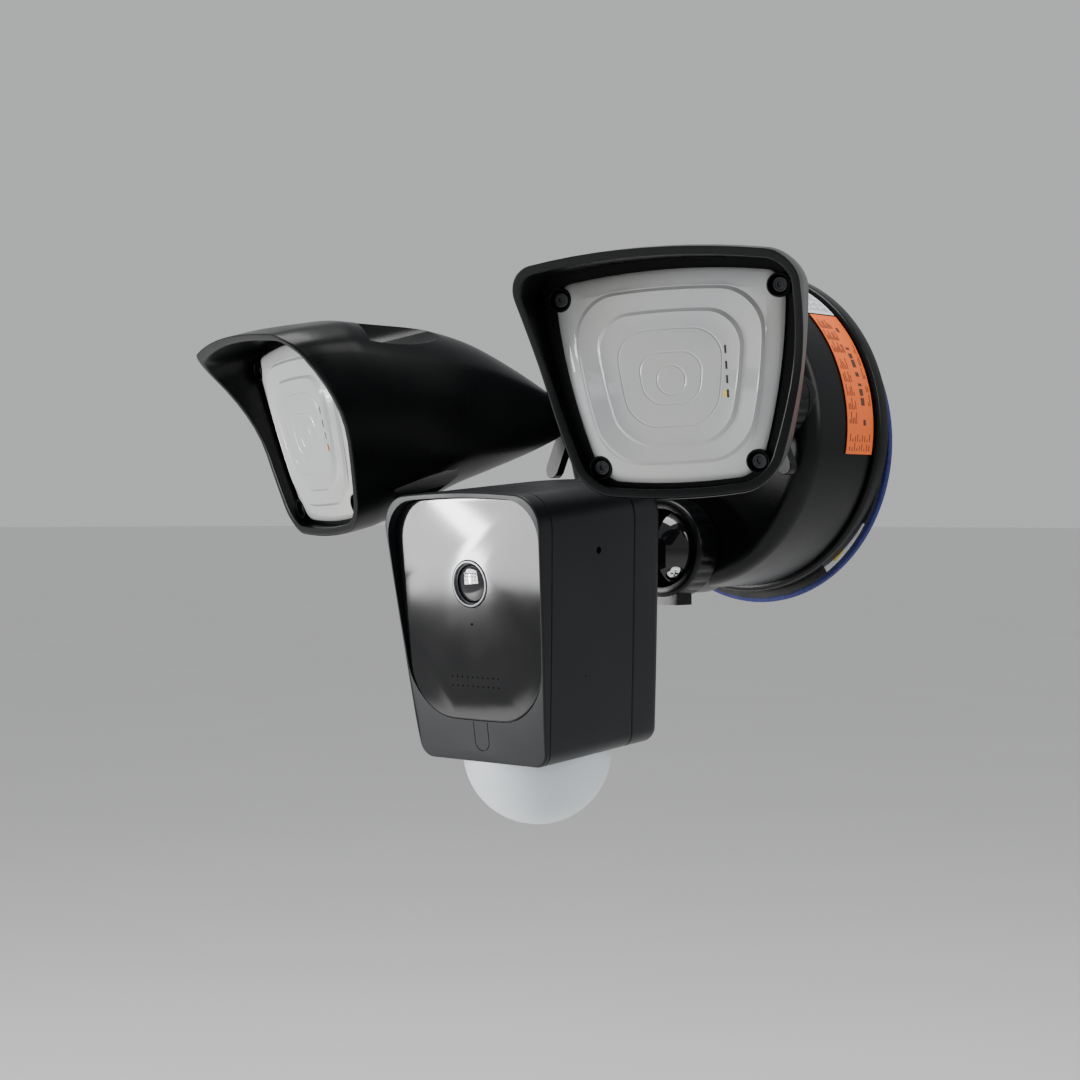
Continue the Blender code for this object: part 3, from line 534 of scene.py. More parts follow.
def make_wall_side():
    """The foam seal, and a small tag that lies on the wall plate."""
    drop = shift(0, 0, -SEAL_DROP)
    seal = [(52.3, 0.0), (61.5, 0.0), (61.95, 0.35), (62.0, 1.1), (61.9, 1.8), (61.5, 2.2), (52.3, 2.2)]
    place("plate_tag", on_plate((-55, -31), (56.6, 60.2), 0.2), WHITE_FILM, "base")
    place("plate_mark", on_plate((-50, -44), (57.4, 59.2), 0.24), YELLOW_FILM, "base")
    place("foam_seal", turned(seal, 128, "FRONT"), FOAM, "base", drop, ["wall_seal"])


def on_plate(angles, radii, thick):
    """A flat strip on the wall plate's front, between two angles and two radii."""
    back = -PLATE_DEPTH - 0.02
    corners = ((radii[0], 0), (radii[1], 0), (radii[1], thick), (radii[0], thick))
    rings = []
    for x, z in arc(1.0, angles[0], angles[1], 12):
        rings.append([(x * radius, back - ahead, z * radius - SEAL_DROP) for radius, ahead in corners])
    return lofted(rings)


def on_drum(angles, depths, radius, thick):
    """A strip bent round the drum between two angles (degrees from +X towards +Z) and two depths."""
    degrees_per_step = 1.5
    steps = max(1, math.ceil((angles[1] - angles[0]) / degrees_per_step))
    rings = []
    for x, z in arc(1.0, angles[0], angles[1], steps):
        ring = []
        for high, far in ((0, 0), (1, 0), (1, 1), (0, 1)):
            reach = radius + thick * high
            ring.append((x * reach, -depths[far], z * reach))
        rings.append(ring)
    return lofted(rings)


def merged(meshes):
    """One mesh of several, side by side."""
    form = bmesh.new()
    for mesh in meshes:
        form.from_mesh(mesh)
    result = bpy.data.meshes.new("merged")
    form.to_mesh(result)
    form.free()
    return result


def printed_lines(angles, depths, lines, width, words, seed):
    """Plain bars in place of print: short strips in rows, whose lengths follow a fixed pattern."""
    strips = []
    pitch = (depths[1] - depths[0]) / lines
    room = (angles[1] - angles[0]) / words
    for row in range(lines):
        middle = depths[0] + pitch * (row + 0.5)
        across = (middle - width / 2, middle + width / 2)
        angle = angles[0]
        for word in range(words):
            length = room * (0.55 + 0.3 * math.sin(seed + 2.3 * row + 1.7 * word))
            strips.append(on_drum((angle, angle + length), across, DRUM_RADIUS + PRINT_LIFT, PRINT_THICK))
            angle += room
    return strips


# The blocks of bars: angles, depths, rows, height of a bar, bars in a row, and what shifts the pattern.
ORANGE_PRINT = (
    ((27.0, 42.5), (19.5, 27.2), 9, 0.42, 3, 0.4),
    ((1.0, 25.5), (21.6, 27.0), 5, 0.42, 5, 1.2),
    ((7.5, 32.0), (15.6, 19.0), 1, 2.2, 7, 0.9),
    ((7.5, 32.0), (12.2, 14.0), 2, 0.38, 5, 2.0),
    ((36.0, 38.5), (15.6, 18.4), 1, 1.6, 1, 1.0),
    ((0.5, 3.0), (15.6, 18.4), 1, 1.6, 1, 1.0),
    ((-8.5, -2.0), (12.8, 26.8), 9, 0.42, 2, 0.2),
)
WHITE_PRINT = (((46.5, 58.5), (13.0, 26.5), 9, 0.5, 4, 0.7),)


def make_labels():
    for name, angles, film, slot, node in (
        ("orange_label", ORANGE_LABEL, ORANGE_FILM, "orange", "warning_label"),
        ("white_label", WHITE_LABEL, WHITE_FILM, "white", "rating_label"),
    ):
        strip = on_drum(angles, LABEL_DEPTHS, DRUM_RADIUS + LABEL_LIFT, LABEL_THICK)
        place(name, strip, film, "base", replaces=[node])
    prints = {"label_print": (ORANGE_PRINT, INK), "white_label_print": (WHITE_PRINT, GREY_INK)}
    for name, (rows, ink) in prints.items():
        strips = [strip for settings in rows for strip in printed_lines(*settings)]
        place(name, merged(strips), ink, "base")


# Ball joints

RING_SEGMENTS = 144
RING_ROUNDING = 2.2
SPIGOT_LENGTH = 5.8
GROOVE_DEPTH = 0.55


def lock_ring_mesh(ball_radius, lip, spigot_radius, ring_radius, base_depth, socket_back, ribs):
    """A ring round a ball, about the front axis, with shallow finger grooves round its side."""
    socket = ball_radius + GAP
    front = math.degrees(math.asin(lip / socket))
    back = -math.degrees(math.asin(socket_back / socket))
    inside = arc(socket, front, back, 14)
    seat = base_depth + GAP
    top = lip + 0.3
    profile = [(ring_radius - 0.5, seat), (ring_radius, seat + 0.5)]
    profile += [(ring_radius, seat + 0.5 + (lip - 3.0 - seat - 0.5) * i / 4) for i in range(1, 5)]
    profile += arc(RING_ROUNDING, 0, 80, 6, (ring_radius - RING_ROUNDING, top - RING_ROUNDING))[1:]
    profile += inside
    if spigot_radius:
        end = seat - SPIGOT_LENGTH
        profile += [(inside[-1][0], end), (spigot_radius, end), (spigot_radius, seat)]

    def grooves(radius, height, angle):
        if radius < ring_radius - 0.6 or height < seat + 0.9 or height > lip - 2.0:
            return radius
        wave = math.cos(angle * ribs)
        return radius - GROOVE_DEPTH * max(0.0, wave) ** 2

    return turned(profile, RING_SEGMENTS, "FRONT", grooves)


def ball_mesh(radius, slot_half, slot_back, pin_hole):
    """A ball with a slot across its front for the neck's eye, and a hole across the slot for the pin."""
    ball = turned([(0.0, -radius), *arc(radius, -86, 86, 36), (0.0, radius)], SMOOTH)
    depth = radius + slot_back + 2
    slot = block((2 * slot_half, depth, 2 * radius + 4), (0, (slot_back - radius - 2) / 2, 0))
    return cut(ball, slot, disc(pin_hole, -radius - 2, radius + 2, 32, "X"))


def neck_mesh(eye_radius, eye_half, pin_hole, profile, segments):
    """An eye round the tilt pin, with a turned rod ahead of it. pin_hole is its radius and half length."""
    eye = disc(eye_radius, -eye_half, eye_half, 40, "X")
    radius, half = pin_hole
    return cut(joined(eye, turned(profile, segments, "FRONT")), disc(radius, -half, half, 24, "X"))


LAMP_BALL_RADIUS = 10.0
CAMERA_BALL_RADIUS = 15.0
# Where each lamp ring's wing points, in degrees from +X towards +Z.
WING_DEGREES = {"left": 246.0, "right": 294.0}
CLAMP_SCREW_AXIS = (0.62, -0.45, -0.64)
CLAMP_SCREW_SEAT = 13.1


def make_lamp_joint(side):
    """The winged ring, the ball and the lamp's neck."""
    ring = lock_ring_mesh(LAMP_BALL_RADIUS, 3.6, 11.0, 14.6, -7.0, 7.5, 18)
    rounded = [(0.0, 0.0), (2.7, 0.0), (3.0, 0.3), (3.0, 3.7), (2.7, 4.0), (0.0, 4.0)]
    wing_end = moved(turned(rounded, 40, "FRONT"), (26.5, 0, 0))
    wing = joined(block((14.5, 4.0, 6.0), (19.25, -2.0, 0)), wing_end)
    ring = joined(ring, moved(wing, rotation=turn("Y", -WING_DEGREES[side])))
    place(f"{side}_clamp_ring", ring, SATIN_BLACK, f"{side}_ring", ball_place(side),
          [f"{side}_lock_ring"])
    ball = ball_mesh(LAMP_BALL_RADIUS, 4.4, 5.5, 1.7)
    place(f"{side}_round_ball", ball, GLOSS_BLACK, f"{side}_swivel", pan_frame(side),
          [f"{side}_ball"])
    rod = [(0.0, 3.0), (4.0, 3.0), (4.0, 26.6), (3.6, 27.0), (0.0, 27.0)]
    neck = neck_mesh(4.6, 3.4, (1.65, 6), rod, 40)
    pitched = pan_frame(side) @ turn("X", LAMP_TURNS[side][0])
    place(f"{side}_stem", neck, GLOSS_BLACK, f"{side}_lamp", pitched, [f"{side}_neck"])


def make_camera_joint():
    """The ring with its ear, the ball with its chrome screw, and the camera unit's neck."""
    where = ball_place("camera")
    ring = lock_ring_mesh(CAMERA_BALL_RADIUS, 4.0, 0.0, 18.5, -8.0, 7.7, 24)
    ring = joined(ring, block((10.0, 9.0, 6.0), (2.0, 1.5, -18.3)))
    place("camera_clamp_ring", ring, SATIN_BLACK, "camera_ring", where, ["camera_lock_ring"])
    along = pointing(CLAMP_SCREW_AXIS)
    well = turned([(0.0, 10.3), (1.7, 10.3), (1.7, 12.8), (3.5, 12.8), (3.5, 18.0), (0.0, 18.0)], 40)
    ball = cut(ball_mesh(CAMERA_BALL_RADIUS, 5.8, 8.0, 1.85), moved(well, rotation=along))
    place("camera_round_ball", ball, GLOSS_BLACK, "camera_swivel", where, ["camera_ball"])
    screw = moved(moved(cross_screw_mesh(3.1, 1.5, 1.4, 2.5), (0, 0, CLAMP_SCREW_SEAT)), rotation=along)
    place("clamp_screw", screw, CHROME, "camera_swivel", where, ["camera_clamp_screw"])
    flange = UNIT_BACK_FROM_BALL
    profile = [(0.0, 4.5), (5.2, 4.5), (5.2, 19.0), (5.5, 24.0), (6.6, 30.0)]
    profile += [(8.0, flange - 7.5), (9.6, flange - 5.0), (11.8, flange - 2.8), (12.5, flange - 2.2)]
    profile += [(12.5, flange - GAP), (7.5, flange - GAP), (7.5, flange + 6.0), (0.0, flange + 6.0)]
    neck = neck_mesh(6.5, 4.9, (1.8, 8), profile, 48)
    place("camera_stem", neck, SATIN_BLACK, "camera_unit", UNIT_JOINT, ["camera_neck"])


# Lamps

LENS_AHEAD = 112.5
LENS_UP = 14.1
LENS_THICK = 2.3
LEDGE_BEHIND = 3.9
SHELL_WALL = 2.6
LENS_SCREWS = {
    "top_right": (35.6, 27.0),
    "top_left": (-35.6, 27.0),
    "bottom_right": (25.8, -26.8),
    "bottom_left": (-25.8, -26.8),
}
# The outer shell from its neck to the hood: y, half widths at top and bottom, top, bottom, bows of top,
# bottom and sides, corner radius, and the share of the hood's reach. The hood begins at the last but two.
SHELL_STATIONS = (
    (-14.6, 9.4, 9.4, 9.0, -9.0, 0.6, 0.5, 0.6, 7.0, 0.0),
    (-30.0, 16.5, 14.0, 20.0, -11.3, 2.5, 0.8, 1.0, 9.5, 0.0),
    (-48.0, 24.5, 19.0, 31.5, -13.0, 3.3, 1.2, 1.8, 11.5, 0.0),
    (-67.0, 32.0, 23.5, 39.6, -14.8, 4.0, 1.6, 2.4, 12.0, 0.0),
    (-87.0, 38.5, 27.5, 45.0, -18.6, 4.3, 2.2, 2.8, 11.5, 0.0),
    (-105.0, 43.5, 30.2, 49.6, -20.7, 4.5, 2.6, 3.1, 10.5, 0.0),
    (-111.5, 45.4, 30.8, 50.8, -20.8, 4.5, 2.6, 3.2, 9.5, 0.5),
    (-112.5, 46.0, 31.0, 50.7, -20.5, 4.4, 2.4, 3.2, 9.0, 1.0),
)
# Pockets at the shell's corners, behind the screws: centre and radius, and how far ahead they end.
CORNER_POCKETS = ((31.0, 48.5, 11.0), (27.5, -17.5, 8.5))
POCKETS_AHEAD = 99.0


def rim_ahead(height):
    """How far the hood's edge stands ahead of the lens at a height above the lens's middle."""
    return 2.6 + 16.0 * max(0.0, (height + 4.0) / 38.0) ** 1.8


def lamp_section(y, half_top, half_bottom, top, bottom, bow_top, bow_bottom, bow_side, radius, rim_share=0.0):
    """A ring of the lamp's shell. rim_share is how much of the hood's reach it gets."""
    shape = outline(half_top, half_bottom, top, bottom, (bow_top, bow_bottom, bow_side), (radius, radius))
    return [(x, y - rim_share * rim_ahead(z - LENS_UP), z) for x, z in shape]


def between(stations, steps):
    """Stations with smooth ones between them, by a curve through four neighbours."""
    rows = []
    for k in range(len(stations) - 1):
        before = stations[max(k - 1, 0)]
        after = stations[min(k + 2, len(stations) - 1)]
        start, end = stations[k], stations[k + 1]
        for i in range(steps):
            t = i / steps
            row = []
            for p0, p1, p2, p3 in zip(before, start, end, after):
                m1, m2 = (p2 - p0) / 2, (p3 - p1) / 2
                row.append(
                    (2 * t**3 - 3 * t**2 + 1) * p1 + (t**3 - 2 * t**2 + t) * m1
                    + (3 * t**2 - 2 * t**3) * p2 + (t**3 - t**2) * m2
                )
            rows.append(tuple(row))
    rows.append(stations[-1])
    return rows


def rounded_rim(outer, inner, radius, steps=4):
    """Rings over a wall's edge, from its outer ring to its inner one, with round corners. Ahead is -Y."""
    rings = []
    for start, end in ((0, 90), (90, 180)):
        for i in range(steps + 1):
            angle = math.radians(start + (end - start) * i / steps)
            ring = []
            for a, b in zip(outer, inner):
                a, b = Vector(a), Vector(b)
                inward = (b - a).normalized()
                corner = a + inward * radius if start == 0 else b - inward * radius
                back = Vector((0, radius, 0))
                ring.append(tuple(corner + back - inward * radius * math.cos(angle) - back * math.sin(angle)))
            rings.append(ring)
    return rings


def shell_mesh():
    """The lamp's housing: its outside up to the hood, over the rim, and back along the cavity inside."""
    w = SHELL_WALL
    front = -LENS_AHEAD
    ledge = front + LEDGE_BEHIND
    up = LENS_UP
    hood_from = 5
    outer = [lamp_section(*row) for row in between(SHELL_STATIONS[:hood_from + 1], 5)[:-1]]
    outer += [lamp_section(*row) for row in between(SHELL_STATIONS[hood_from:], 4)]
    start = [
        lamp_section(-13.0, 7.9, 7.9, 7.4, -7.6, 0.6, 0.6, 0.6, 6.5),
        lamp_section(-13.5, 8.9, 8.9, 8.5, -8.6, 0.6, 0.5, 0.6, 6.9),
    ]
    inner_edge = lamp_section(front, 46.0 - w, 31.0 - w, up + 36.6 - w, up - 34.6 + w,
                              4.2, 2.2, 3.0, 7.0, 1.0)
    edge = outer.pop()
    rim = rounded_rim(edge, inner_edge, 0.7)
    inside = [
        lamp_section(ledge, 42.6, 28.8, up + 33.6, up - 31.9, 3.8, 2.2, 2.8, 5.0),
        lamp_section(ledge, 33.5, 23.0, up + 28.0, up - 27.5, 3.0, 1.5, 2.0, 15.0),
        lamp_section(-100.5, 31.0, 22.7, 39.0, -13.4, 2.0, 1.2, 1.5, 15.0),
        lamp_section(-87.0, 31.0, 22.5, 38.5, -13.5, 2.0, 1.0, 1.5, 14.0),
        lamp_section(-72.0, 28.0, 19.0, 35.5, -11.0, 3.0, 0.8, 1.0, 11.0),
    ]
    shell = lofted(start + outer + rim + inside)
    holes = [disc(4.3, 10.0, 28.0, 40, "FRONT")]
    for x, z, radius in CORNER_POCKETS:
        for side in (-1, 1):
            holes.append(moved(disc(radius, 20.0, POCKETS_AHEAD, 72, "FRONT"), (side * x, 0, z)))
    for x, z in LENS_SCREWS.values():
        holes.append(moved(disc(1.5, LENS_AHEAD - 12, LENS_AHEAD, 16, "FRONT"), (x, 0, up + z)))
    return cut(shell, *holes)


def lens_outline(half_top, half_bottom, top, bottom, bows, radii):
    """An outline on the lens; its heights are above the lens's middle."""
    return outline(half_top, half_bottom, LENS_UP + top, LENS_UP + bottom, bows, radii)


def shrunk(shape, inset):
    """A lens outline's sizes, drawn in evenly."""
    half_top, half_bottom, top, bottom, bows, radii = shape
    slant = (half_top - half_bottom) / (top - bottom)
    half_top -= inset * (1 + slant)
    half_bottom -= inset * (1 - slant)
    most = 0.98 * min(half_top, half_bottom, (top - bottom) / 2 - inset)
    corners = tuple(min(max(radius - inset * 0.4, 3.0), most) for radius in radii)
    return (half_top, half_bottom, top - inset, bottom + inset, bows, corners)


# The lens's edge and the edges of its steps: half widths at top and bottom, top, bottom, bows and corner
# radii. The fine lines have their depths as well.
LENS_EDGE = (37.5, 25.5, 31.0, -30.8, (3.2, 1.7, 2.6), (6.0, 6.0))
FIRST_STEP = (31.3, 23.2, 27.0, -25.6, (2.0, 1.2, 2.2), (13.0, 11.0))
SECOND_STEP = (24.6, 17.6, 20.8, -20.3, (1.4, 0.8, 1.6), (11.0, 9.0))
FINE_LINES = (
    ((17.3, 13.6, 15.0, -14.0, (0.9, 0.5, 0.8), (9.0, 8.0)), 0.16),
    ((10.2, 8.2, 8.2, -7.2, (0.5, 0.3, 0.6), (6.0, 5.0)), 0.12),
    ((4.6, 4.6, 4.6, -4.6, (0.0, 0.0, 0.0), (4.59, 4.59)), 0.12),
)
# Depths are behind the lens's front plane; its field outside the steps stands a little ahead of it.
LENS_FIELD = -0.1
STEP_HEIGHT = 0.7
STEP_WIDTH = 1.5


def lens_mesh():
    """The lens rolls off to its edge and rises in two steps to its middle, which has three fine lines."""
    front = -LENS_AHEAD
    roll_off = ((0.0, 1.85), (0.35, 1.45), (1.2, 1.0), (2.3, 0.6), (3.6, 0.24), (4.8, 0.02))
    rings = [(LENS_EDGE, inset, y) for inset, y in ((0.0, LENS_THICK), *roll_off)]
    level = LENS_FIELD
    rings.append((FIRST_STEP, 0.0, level))
    for shape in (FIRST_STEP, SECOND_STEP):
        rings += [(shape, 0.25, level + 0.1), (shape, STEP_WIDTH - 0.25, level - STEP_HEIGHT - 0.1)]
        level -= STEP_HEIGHT
        rings.append((shape, STEP_WIDTH, level))
        if shape is FIRST_STEP:
            rings.append((SECOND_STEP, 0.0, level))
    for shape, depth in FINE_LINES:
        for inset, y in ((-0.3, level), (-0.1, level + depth), (0.1, level + depth), (0.3, level)):
            rings.append((shape, inset, y))
    shapes = [at_depth(lens_outline(*shrunk(shape, inset)), front + y) for shape, inset, y in rings]
    notches = []
    for x, z in LENS_SCREWS.values():
        notches.append(moved(disc(3.9, LENS_AHEAD - 6, LENS_AHEAD + 4, 40, "FRONT"), (x, 0, LENS_UP + z)))
    return cut(lofted(shapes), *notches)


def screw_cup_mesh():
    """The black collar in a lens corner, round its screw."""
    profile = [(2.75, 0.0), (3.7, 0.0), (3.7, 3.4), (3.55, 3.6)]
    profile += [(3.3, 3.6), (3.15, 3.4), (3.05, 1.2), (2.75, 1.0)]
    return turned(profile, 48, "FRONT")


# The lamp's dark marks in a column on the lens, and the yellow one beside the lowest: across, and heights.
MARKS_ACROSS = 18.0
MARK_HEIGHTS = (8.5, 3.6, -0.8, -5.2)
CHIP_ACROSS = 17.1


def make_lamp(side):
    where = lamp_frame(side)
    body = f"{side}_lamp"
    front = -LENS_AHEAD
    place(f"{side}_shell", shell_mesh(), SATIN_BLACK, body, where, [f"{side}_housing"], sharp=35)
    place(f"{side}_diffuser", lens_mesh(), LENS, body, where, [f"{side}_lens"], sharp=22)
    seat = front + LEDGE_BEHIND - GAP
    for corner, (x, z) in LENS_SCREWS.items():
        screw = moved(socket_screw_mesh(2.6, 1.9, 1.2, 7.0), rotation=FACING_FRONT)
        spot = where @ shift(x, seat, LENS_UP + z)
        place(f"{side}_cap_screw_{corner}", screw, BLACK_OXIDE, body, spot,
              [f"{side}_lens_screw_{corner}"])
        place(f"{side}_screw_cup_{corner}", screw_cup_mesh(), SATIN_BLACK, body, spot)
    level = front + LENS_FIELD - 2 * STEP_HEIGHT
    marks = [block((0.6, 0.1, 2.5), (MARKS_ACROSS, level - 0.02, LENS_UP + z)) for z in MARK_HEIGHTS]
    chip = block((1.1, 0.1, 2.2), (CHIP_ACROSS, level - 0.03, LENS_UP + MARK_HEIGHTS[-1]))
    place(f"{side}_lamp_strip", merged(marks), BLACK_OXIDE, body, where)
    place(f"{side}_lamp_chip", chip, YELLOW_FILM, body, where)


# Camera unit. Places are from the middle of its bottom face; y is depth, and its front is at -Y.

UNIT_FRONT = -28.7
UNIT_REAR = 32.0
UNIT_HEIGHT = 93.0
UNIT_WALL = 2.2
BEZEL_THICK = 2.9
# Where the sleeve ends and the rear cover begins.
SEAM = 16.2
FRONT_EDGE = 0.8
REAR_EDGE = 4.5
# How far the bezel's top stands ahead of its crease, and the crease's height.
RIM_AHEAD = 4.0
CREASE = 11.8
LENS_HEIGHT = 61.5
LENS_BORE = 8.6
DOME_RADIUS = 26.1
DOME_WALL = 1.4
# The reset button, from the middle of the unit's bottom face: y and z.
BUTTON = (-2.5, 70.8)
REAR_SCREWS = {"top": 84.0, "bottom": 18.0}
UNIT_SIDE_STEPS = 16


def unit_section(y, inset=0.0):
    """The unit's outline at a depth, drawn in by an inset."""
    top = UNIT_HEIGHT - 2.0 - inset
    bows = (2.0, 0.0, 0.3)
    radii = (11.0 - inset, max(5.0 - inset, 2.0))
    return at_depth(outline(37.4 - inset, 29.4 - inset, top, inset, bows, radii, UNIT_SIDE_STEPS), y)


def bezel_front(height):
    """The bezel leans back below its crease, and forward above it, to form a rim round the panel."""
    if height < CREASE:
        return UNIT_FRONT + 1.2 * (CREASE - height) / CREASE
    return UNIT_FRONT - RIM_AHEAD * (height - CREASE) / (UNIT_HEIGHT - CREASE)


def panel_outline(inset=0.0):
    """The gloss panel's outline, drawn in by an inset."""
    bows = (2.0, 0.8, 0.5)
    radii = (13.0 - inset, 17.0 - inset)
    return outline(35.9 - inset, 29.2 - inset, 88.8 - inset, 15.6 + inset, bows, radii, UNIT_SIDE_STEPS)


def quarter_turn(steps):
    """The sine and cosine at even steps over a quarter of a turn."""
    angles = [math.radians(90 * i / steps) for i in range(steps + 1)]
    return [(math.sin(angle), math.cos(angle)) for angle in angles]


def dome_pit():
    """The hollow for the motion sensor's dome, in the unit's bottom face."""
    return disc(DOME_RADIUS + GAP, -6, 6.7, 96)


def pins(places, radius, low, high, sides=10):
    """Rods along the front axis, to cut holes with."""
    return [moved(disc(radius, low, high, sides, "FRONT"), (x, 0, z)) for x, z in places]


SPEAKER_HOLES = [(2.4 * (i - 4.5), z) for z in (26.4, 29.5) for i in range(10)]


def tab_groove_mesh():
    """A U-shaped groove in the bezel, under the panel."""
    half = 3.4
    low = 7.3
    high = 14.2
    width = 0.3
    middle = 0.6
    sides = []
    for reach in (half, half - width):
        bend = [(middle + x, z) for x, z in arc(reach, 0, -180, 14, (0, low))]
        sides.append([(middle + reach, high), *bend, (middle - reach, high)])
    shape = sides[0] + sides[1][::-1]
    return lofted([at_depth(shape, UNIT_FRONT - 2), at_depth(shape, UNIT_FRONT + 1.5)])


def make_bezel():
    """The bezel: a rounded front edge, with a pocket for the panel and a hole for the lens."""
    back = UNIT_FRONT + BEZEL_THICK
    rings = []
    for sine, cosine in quarter_turn(6):
        behind = FRONT_EDGE * (1 - cosine)
        section = unit_section(0, FRONT_EDGE * (1 - sine))
        rings.append([(x, bezel_front(z) + behind, z) for x, _, z in section])
    rings.append(unit_section(back - GAP - 0.15))
    rings.append(unit_section(back - GAP, 0.15))
    pocket = lofted([at_depth(panel_outline(-GAP), y) for y in (UNIT_FRONT - 8, UNIT_FRONT + 1.7)])
    lens_hole = moved(disc(LENS_BORE, 20, 40, 48, "FRONT"), (0, 0, LENS_HEIGHT))
    bezel = cut(lofted(rings), pocket, lens_hole, dome_pit(), tab_groove_mesh())
    place("front_frame", bezel, CHARCOAL, "camera_unit", UNIT, ["front_bezel"], sharp=28)


def make_body_shells():
    """The unit's sleeve and its rear cover, with a fine seam between them."""
    back = UNIT_FRONT + BEZEL_THICK
    w = UNIT_WALL
    rings = [unit_section(back, 0.15), unit_section(back + 0.15)]
    rings += [unit_section(SEAM - 0.3), unit_section(SEAM, 0.3), unit_section(SEAM, w)]
    rings.append(unit_section(back + w, w))
    button_hole = moved(disc(1.2, 25, 50, 32, "X"), (0, *BUTTON))
    pin_hole = moved(disc(0.3, 25, 50, 12, "X"), (0, -8.6, 28.7))
    lens_hole = moved(disc(LENS_BORE, 15, 40, 48, "FRONT"), (0, 0, LENS_HEIGHT))
    body = cut(lofted(rings), dome_pit(), button_hole, pin_hole, lens_hole)
    place("unit_sleeve", body, CHARCOAL, "camera_unit", UNIT, ["unit_body"], sharp=28)

    rings = []
    for sine, cosine in quarter_turn(8):
        rings.append(unit_section(UNIT_REAR - REAR_EDGE * (1 - cosine), REAR_EDGE * (1 - sine)))
    rings += [unit_section(SEAM + GAP + 0.3), unit_section(SEAM + GAP, 0.3), unit_section(SEAM + GAP, w)]
    rings += [unit_section(UNIT_REAR - w - 3.4, w), unit_section(UNIT_REAR - w, REAR_EDGE + 1.1)]
    neck_hole = moved(disc(7.8, -40, -20, 48, "FRONT"), (0, 0, -UNIT_FROM_BALL[2]))
    bores = pins([(0, z) for z in REAR_SCREWS.values()], 1.6, -40, -20, 24)
    cover = cut(lofted(rings), dome_pit(), neck_hole, *bores)
    place("rear_tray", cover, CHARCOAL, "camera_unit", UNIT, ["rear_cover"], sharp=28)


def make_panel():
    """The gloss panel, with the openings for the lens, the speaker and the microphone."""
    front = UNIT_FRONT - 0.2
    rings = []
    for sine, cosine in quarter_turn(4):
        rings.append(at_depth(panel_outline(0.45 * (1 - sine)), front + 0.4 * (1 - cosine)))
    rings.append(at_depth(panel_outline(), front + 1.5))
    lens_hole = moved(disc(8.3, 20, 40, 64, "FRONT"), (0, 0, LENS_HEIGHT))
    microphone = pins([(0, 47.7)], 0.45, 20, 40, 16)
    panel = cut(lofted(rings), lens_hole, *pins(SPEAKER_HOLES, 0.3, 20, 40), *microphone)
    place("glossy_panel", panel, PIANO_BLACK, "camera_unit", UNIT, ["front_panel"], sharp=28)


def make_camera_lens():
    """The lens in its ring, and a small grid of painted reflections on the glass."""
    centre = UNIT @ shift(0, 0, LENS_HEIGHT)
    ring = [(6.6, 26.5), (8.0, 26.5), (8.0, 28.9), *arc(0.3, 0, 90, 4, (7.7, 28.9))]
    ring += [(7.3, 29.2), (7.1, 28.9), (6.9, 28.2), (6.6, 28.0)]
    place("lens_bezel", turned(ring, 96, "FRONT"), RING_METAL, "camera_unit", centre, ["lens_ring"])
    radius = 6.3
    edge = 27.4
    bulge = 1.3
    glass = [(0.0, 25.6), (radius, 25.6), (radius, edge)]
    for angle in (math.radians(10 * i) for i in range(1, 9)):
        glass.append((radius * math.cos(angle), edge + bulge * math.sin(angle)))
    glass = turned([*glass, (0.0, 28.7)], SMOOTH, "FRONT")
    place("lens_glass", glass, CAMERA_GLASS, "camera_unit", centre, ["camera_lens"])
    # Painted reflection: a five by three grid of small grey squares laid on the glass's face, in place of a
    # reflected grid.
    pitch = 1.15
    reflection_dots = []
    for i in range(5):
        for row in range(3):
            reflection_dots.append(block((0.55, 0.1, 0.55), (pitch * (i - 2), -28.62, 1.2 + pitch * row)))
    place("lens_painted_reflection", merged(reflection_dots), PAINTED_REFLECTION, "camera_unit", centre)


def make_reset_pin():
    profile = [(0.0, 24.0), (2.6, 24.0), (2.6, 26.0), (0.9, 26.0), (0.9, 34.2), (0.7, 34.4), (0.0, 34.4)]
    pin = turned(profile, 32, "X")
    place("reset_pin", pin, GLOSS_BLACK, "reset_button", UNIT @ shift(0, *BUTTON), ["reset_button"])


def make_sensor_dome():
    inner = DOME_RADIUS - DOME_WALL
    outside = arc(DOME_RADIUS, 0, -90, 24)[:-1]
    inside = arc(inner, -90, 0, 16)[1:]
    profile = [(DOME_RADIUS, 6.0), *outside, (0.0, -DOME_RADIUS), (0.0, -inner), *inside, (inner, 6.0)]
    place("frosted_dome", turned(profile, 96), DOME, "camera_unit", UNIT, ["sensor_dome"])


def make_cover_screws():
    for name, z in REAR_SCREWS.items():
        screw = moved(cross_screw_mesh(2.9, 1.5, 1.3, 6.0), rotation=FACING_WALL)
        where = UNIT @ shift(0, UNIT_REAR + GAP, z)
        place(f"cover_screw_{name}", screw, STEEL, "camera_unit", where, [f"rear_screw_{name}"])


# Stage

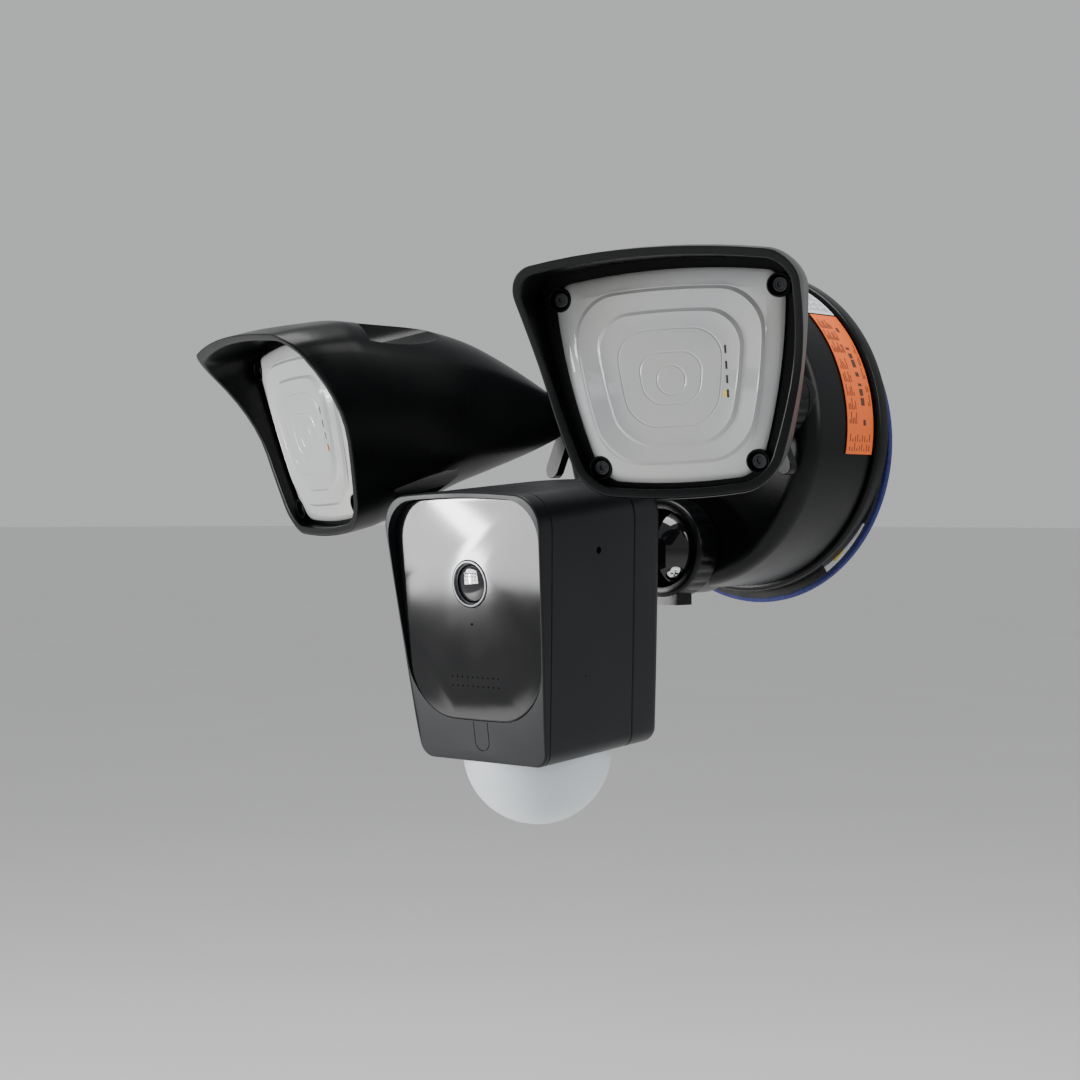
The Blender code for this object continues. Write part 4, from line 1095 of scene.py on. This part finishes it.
# Places and sizes on the stage are in metres. Each light has its shape, place, aim, size and power in watts.
CAMERA_PLACE = (0.50731, -0.68462, -0.03242)
CAMERA_LOOKS = (-0.67405, 0.73859, -0.01182)
FOCAL_LENGTH = 71.5
SENSOR_WIDTH = 36.0
FLOOR_BELOW = 0.45
FLOOR_REACH = 60.0
SKY = (0.86, 0.87, 0.88, 1.0)
SKY_STRENGTH = 0.6
LIGHTS = {
    "key": ("RECTANGLE", (-0.8, -1.06, 0.0), (0, -0.1, -0.02), (0.62, 0.5), 14),
    "key_core": ("ELLIPSE", (-0.88, -1.05, -0.1), (0, -0.1, -0.02), (0.07, 0.3), 4),
    "top": ("RECTANGLE", (0.0, -0.1, 1.0), (0, -0.1, 0), (0.8, 0.4), 12),
    "right_rim": ("RECTANGLE", (1.1, 0.35, 0.55), (0, -0.1, 0), (0.3, 0.9), 5),
}


def turned_along(direction):
    """The rotation that makes a camera or a light look along a direction."""
    return Vector(direction).to_track_quat("-Z", "Y").to_euler()


def add_light(name, shape, spot, aim, size, power):
    data = bpy.data.lights.new(name, "AREA")
    data.shape = shape
    data.size, data.size_y = size
    data.energy = power
    light = new_object(name, data)
    light.location = spot
    light.rotation_euler = turned_along(Vector(aim) - Vector(spot))


def make_camera():
    data = bpy.data.cameras.new("camera")
    data.lens = FOCAL_LENGTH
    data.sensor_width = SENSOR_WIDTH
    camera = new_object("camera", data)
    camera.location = CAMERA_PLACE
    camera.rotation_euler = turned_along(CAMERA_LOOKS)
    bpy.context.scene.camera = camera


def make_floor():
    surface, shader = node_material("pale_floor", (0.8, 0.8, 0.79), 0.7)
    vary_colour(surface, shader, noise(surface, 3, 2), (0.79, 0.79, 0.78), (0.81, 0.81, 0.8))
    reach = FLOOR_REACH / MM
    corners = [(-reach, -reach, 0), (reach, -reach, 0), (reach, reach, 0), (-reach, reach, 0)]
    mesh = mesh_from(corners, [(0, 1, 2, 3)], "floor")
    mesh.materials.append(surface)
    floor = new_object("floor", mesh)
    floor.location.z = -FLOOR_BELOW


def make_stage():
    make_camera()
    make_floor()
    world = bpy.data.worlds.new("studio")
    bpy.context.scene.world = world
    world.use_nodes = True
    background = world.node_tree.nodes["Background"]
    background.inputs["Color"].default_value = SKY
    background.inputs["Strength"].default_value = SKY_STRENGTH
    for name, settings in LIGHTS.items():
        add_light(name, *settings)


make_drum()
make_wall_side()
make_labels()
for lamp in ("left", "right"):
    make_lamp_joint(lamp)
    make_lamp(lamp)
make_camera_joint()
make_bezel()
make_body_shells()
make_panel()
make_camera_lens()
make_reset_pin()
make_sensor_dome()
make_cover_screws()
finish_cad_nodes()
make_stage()
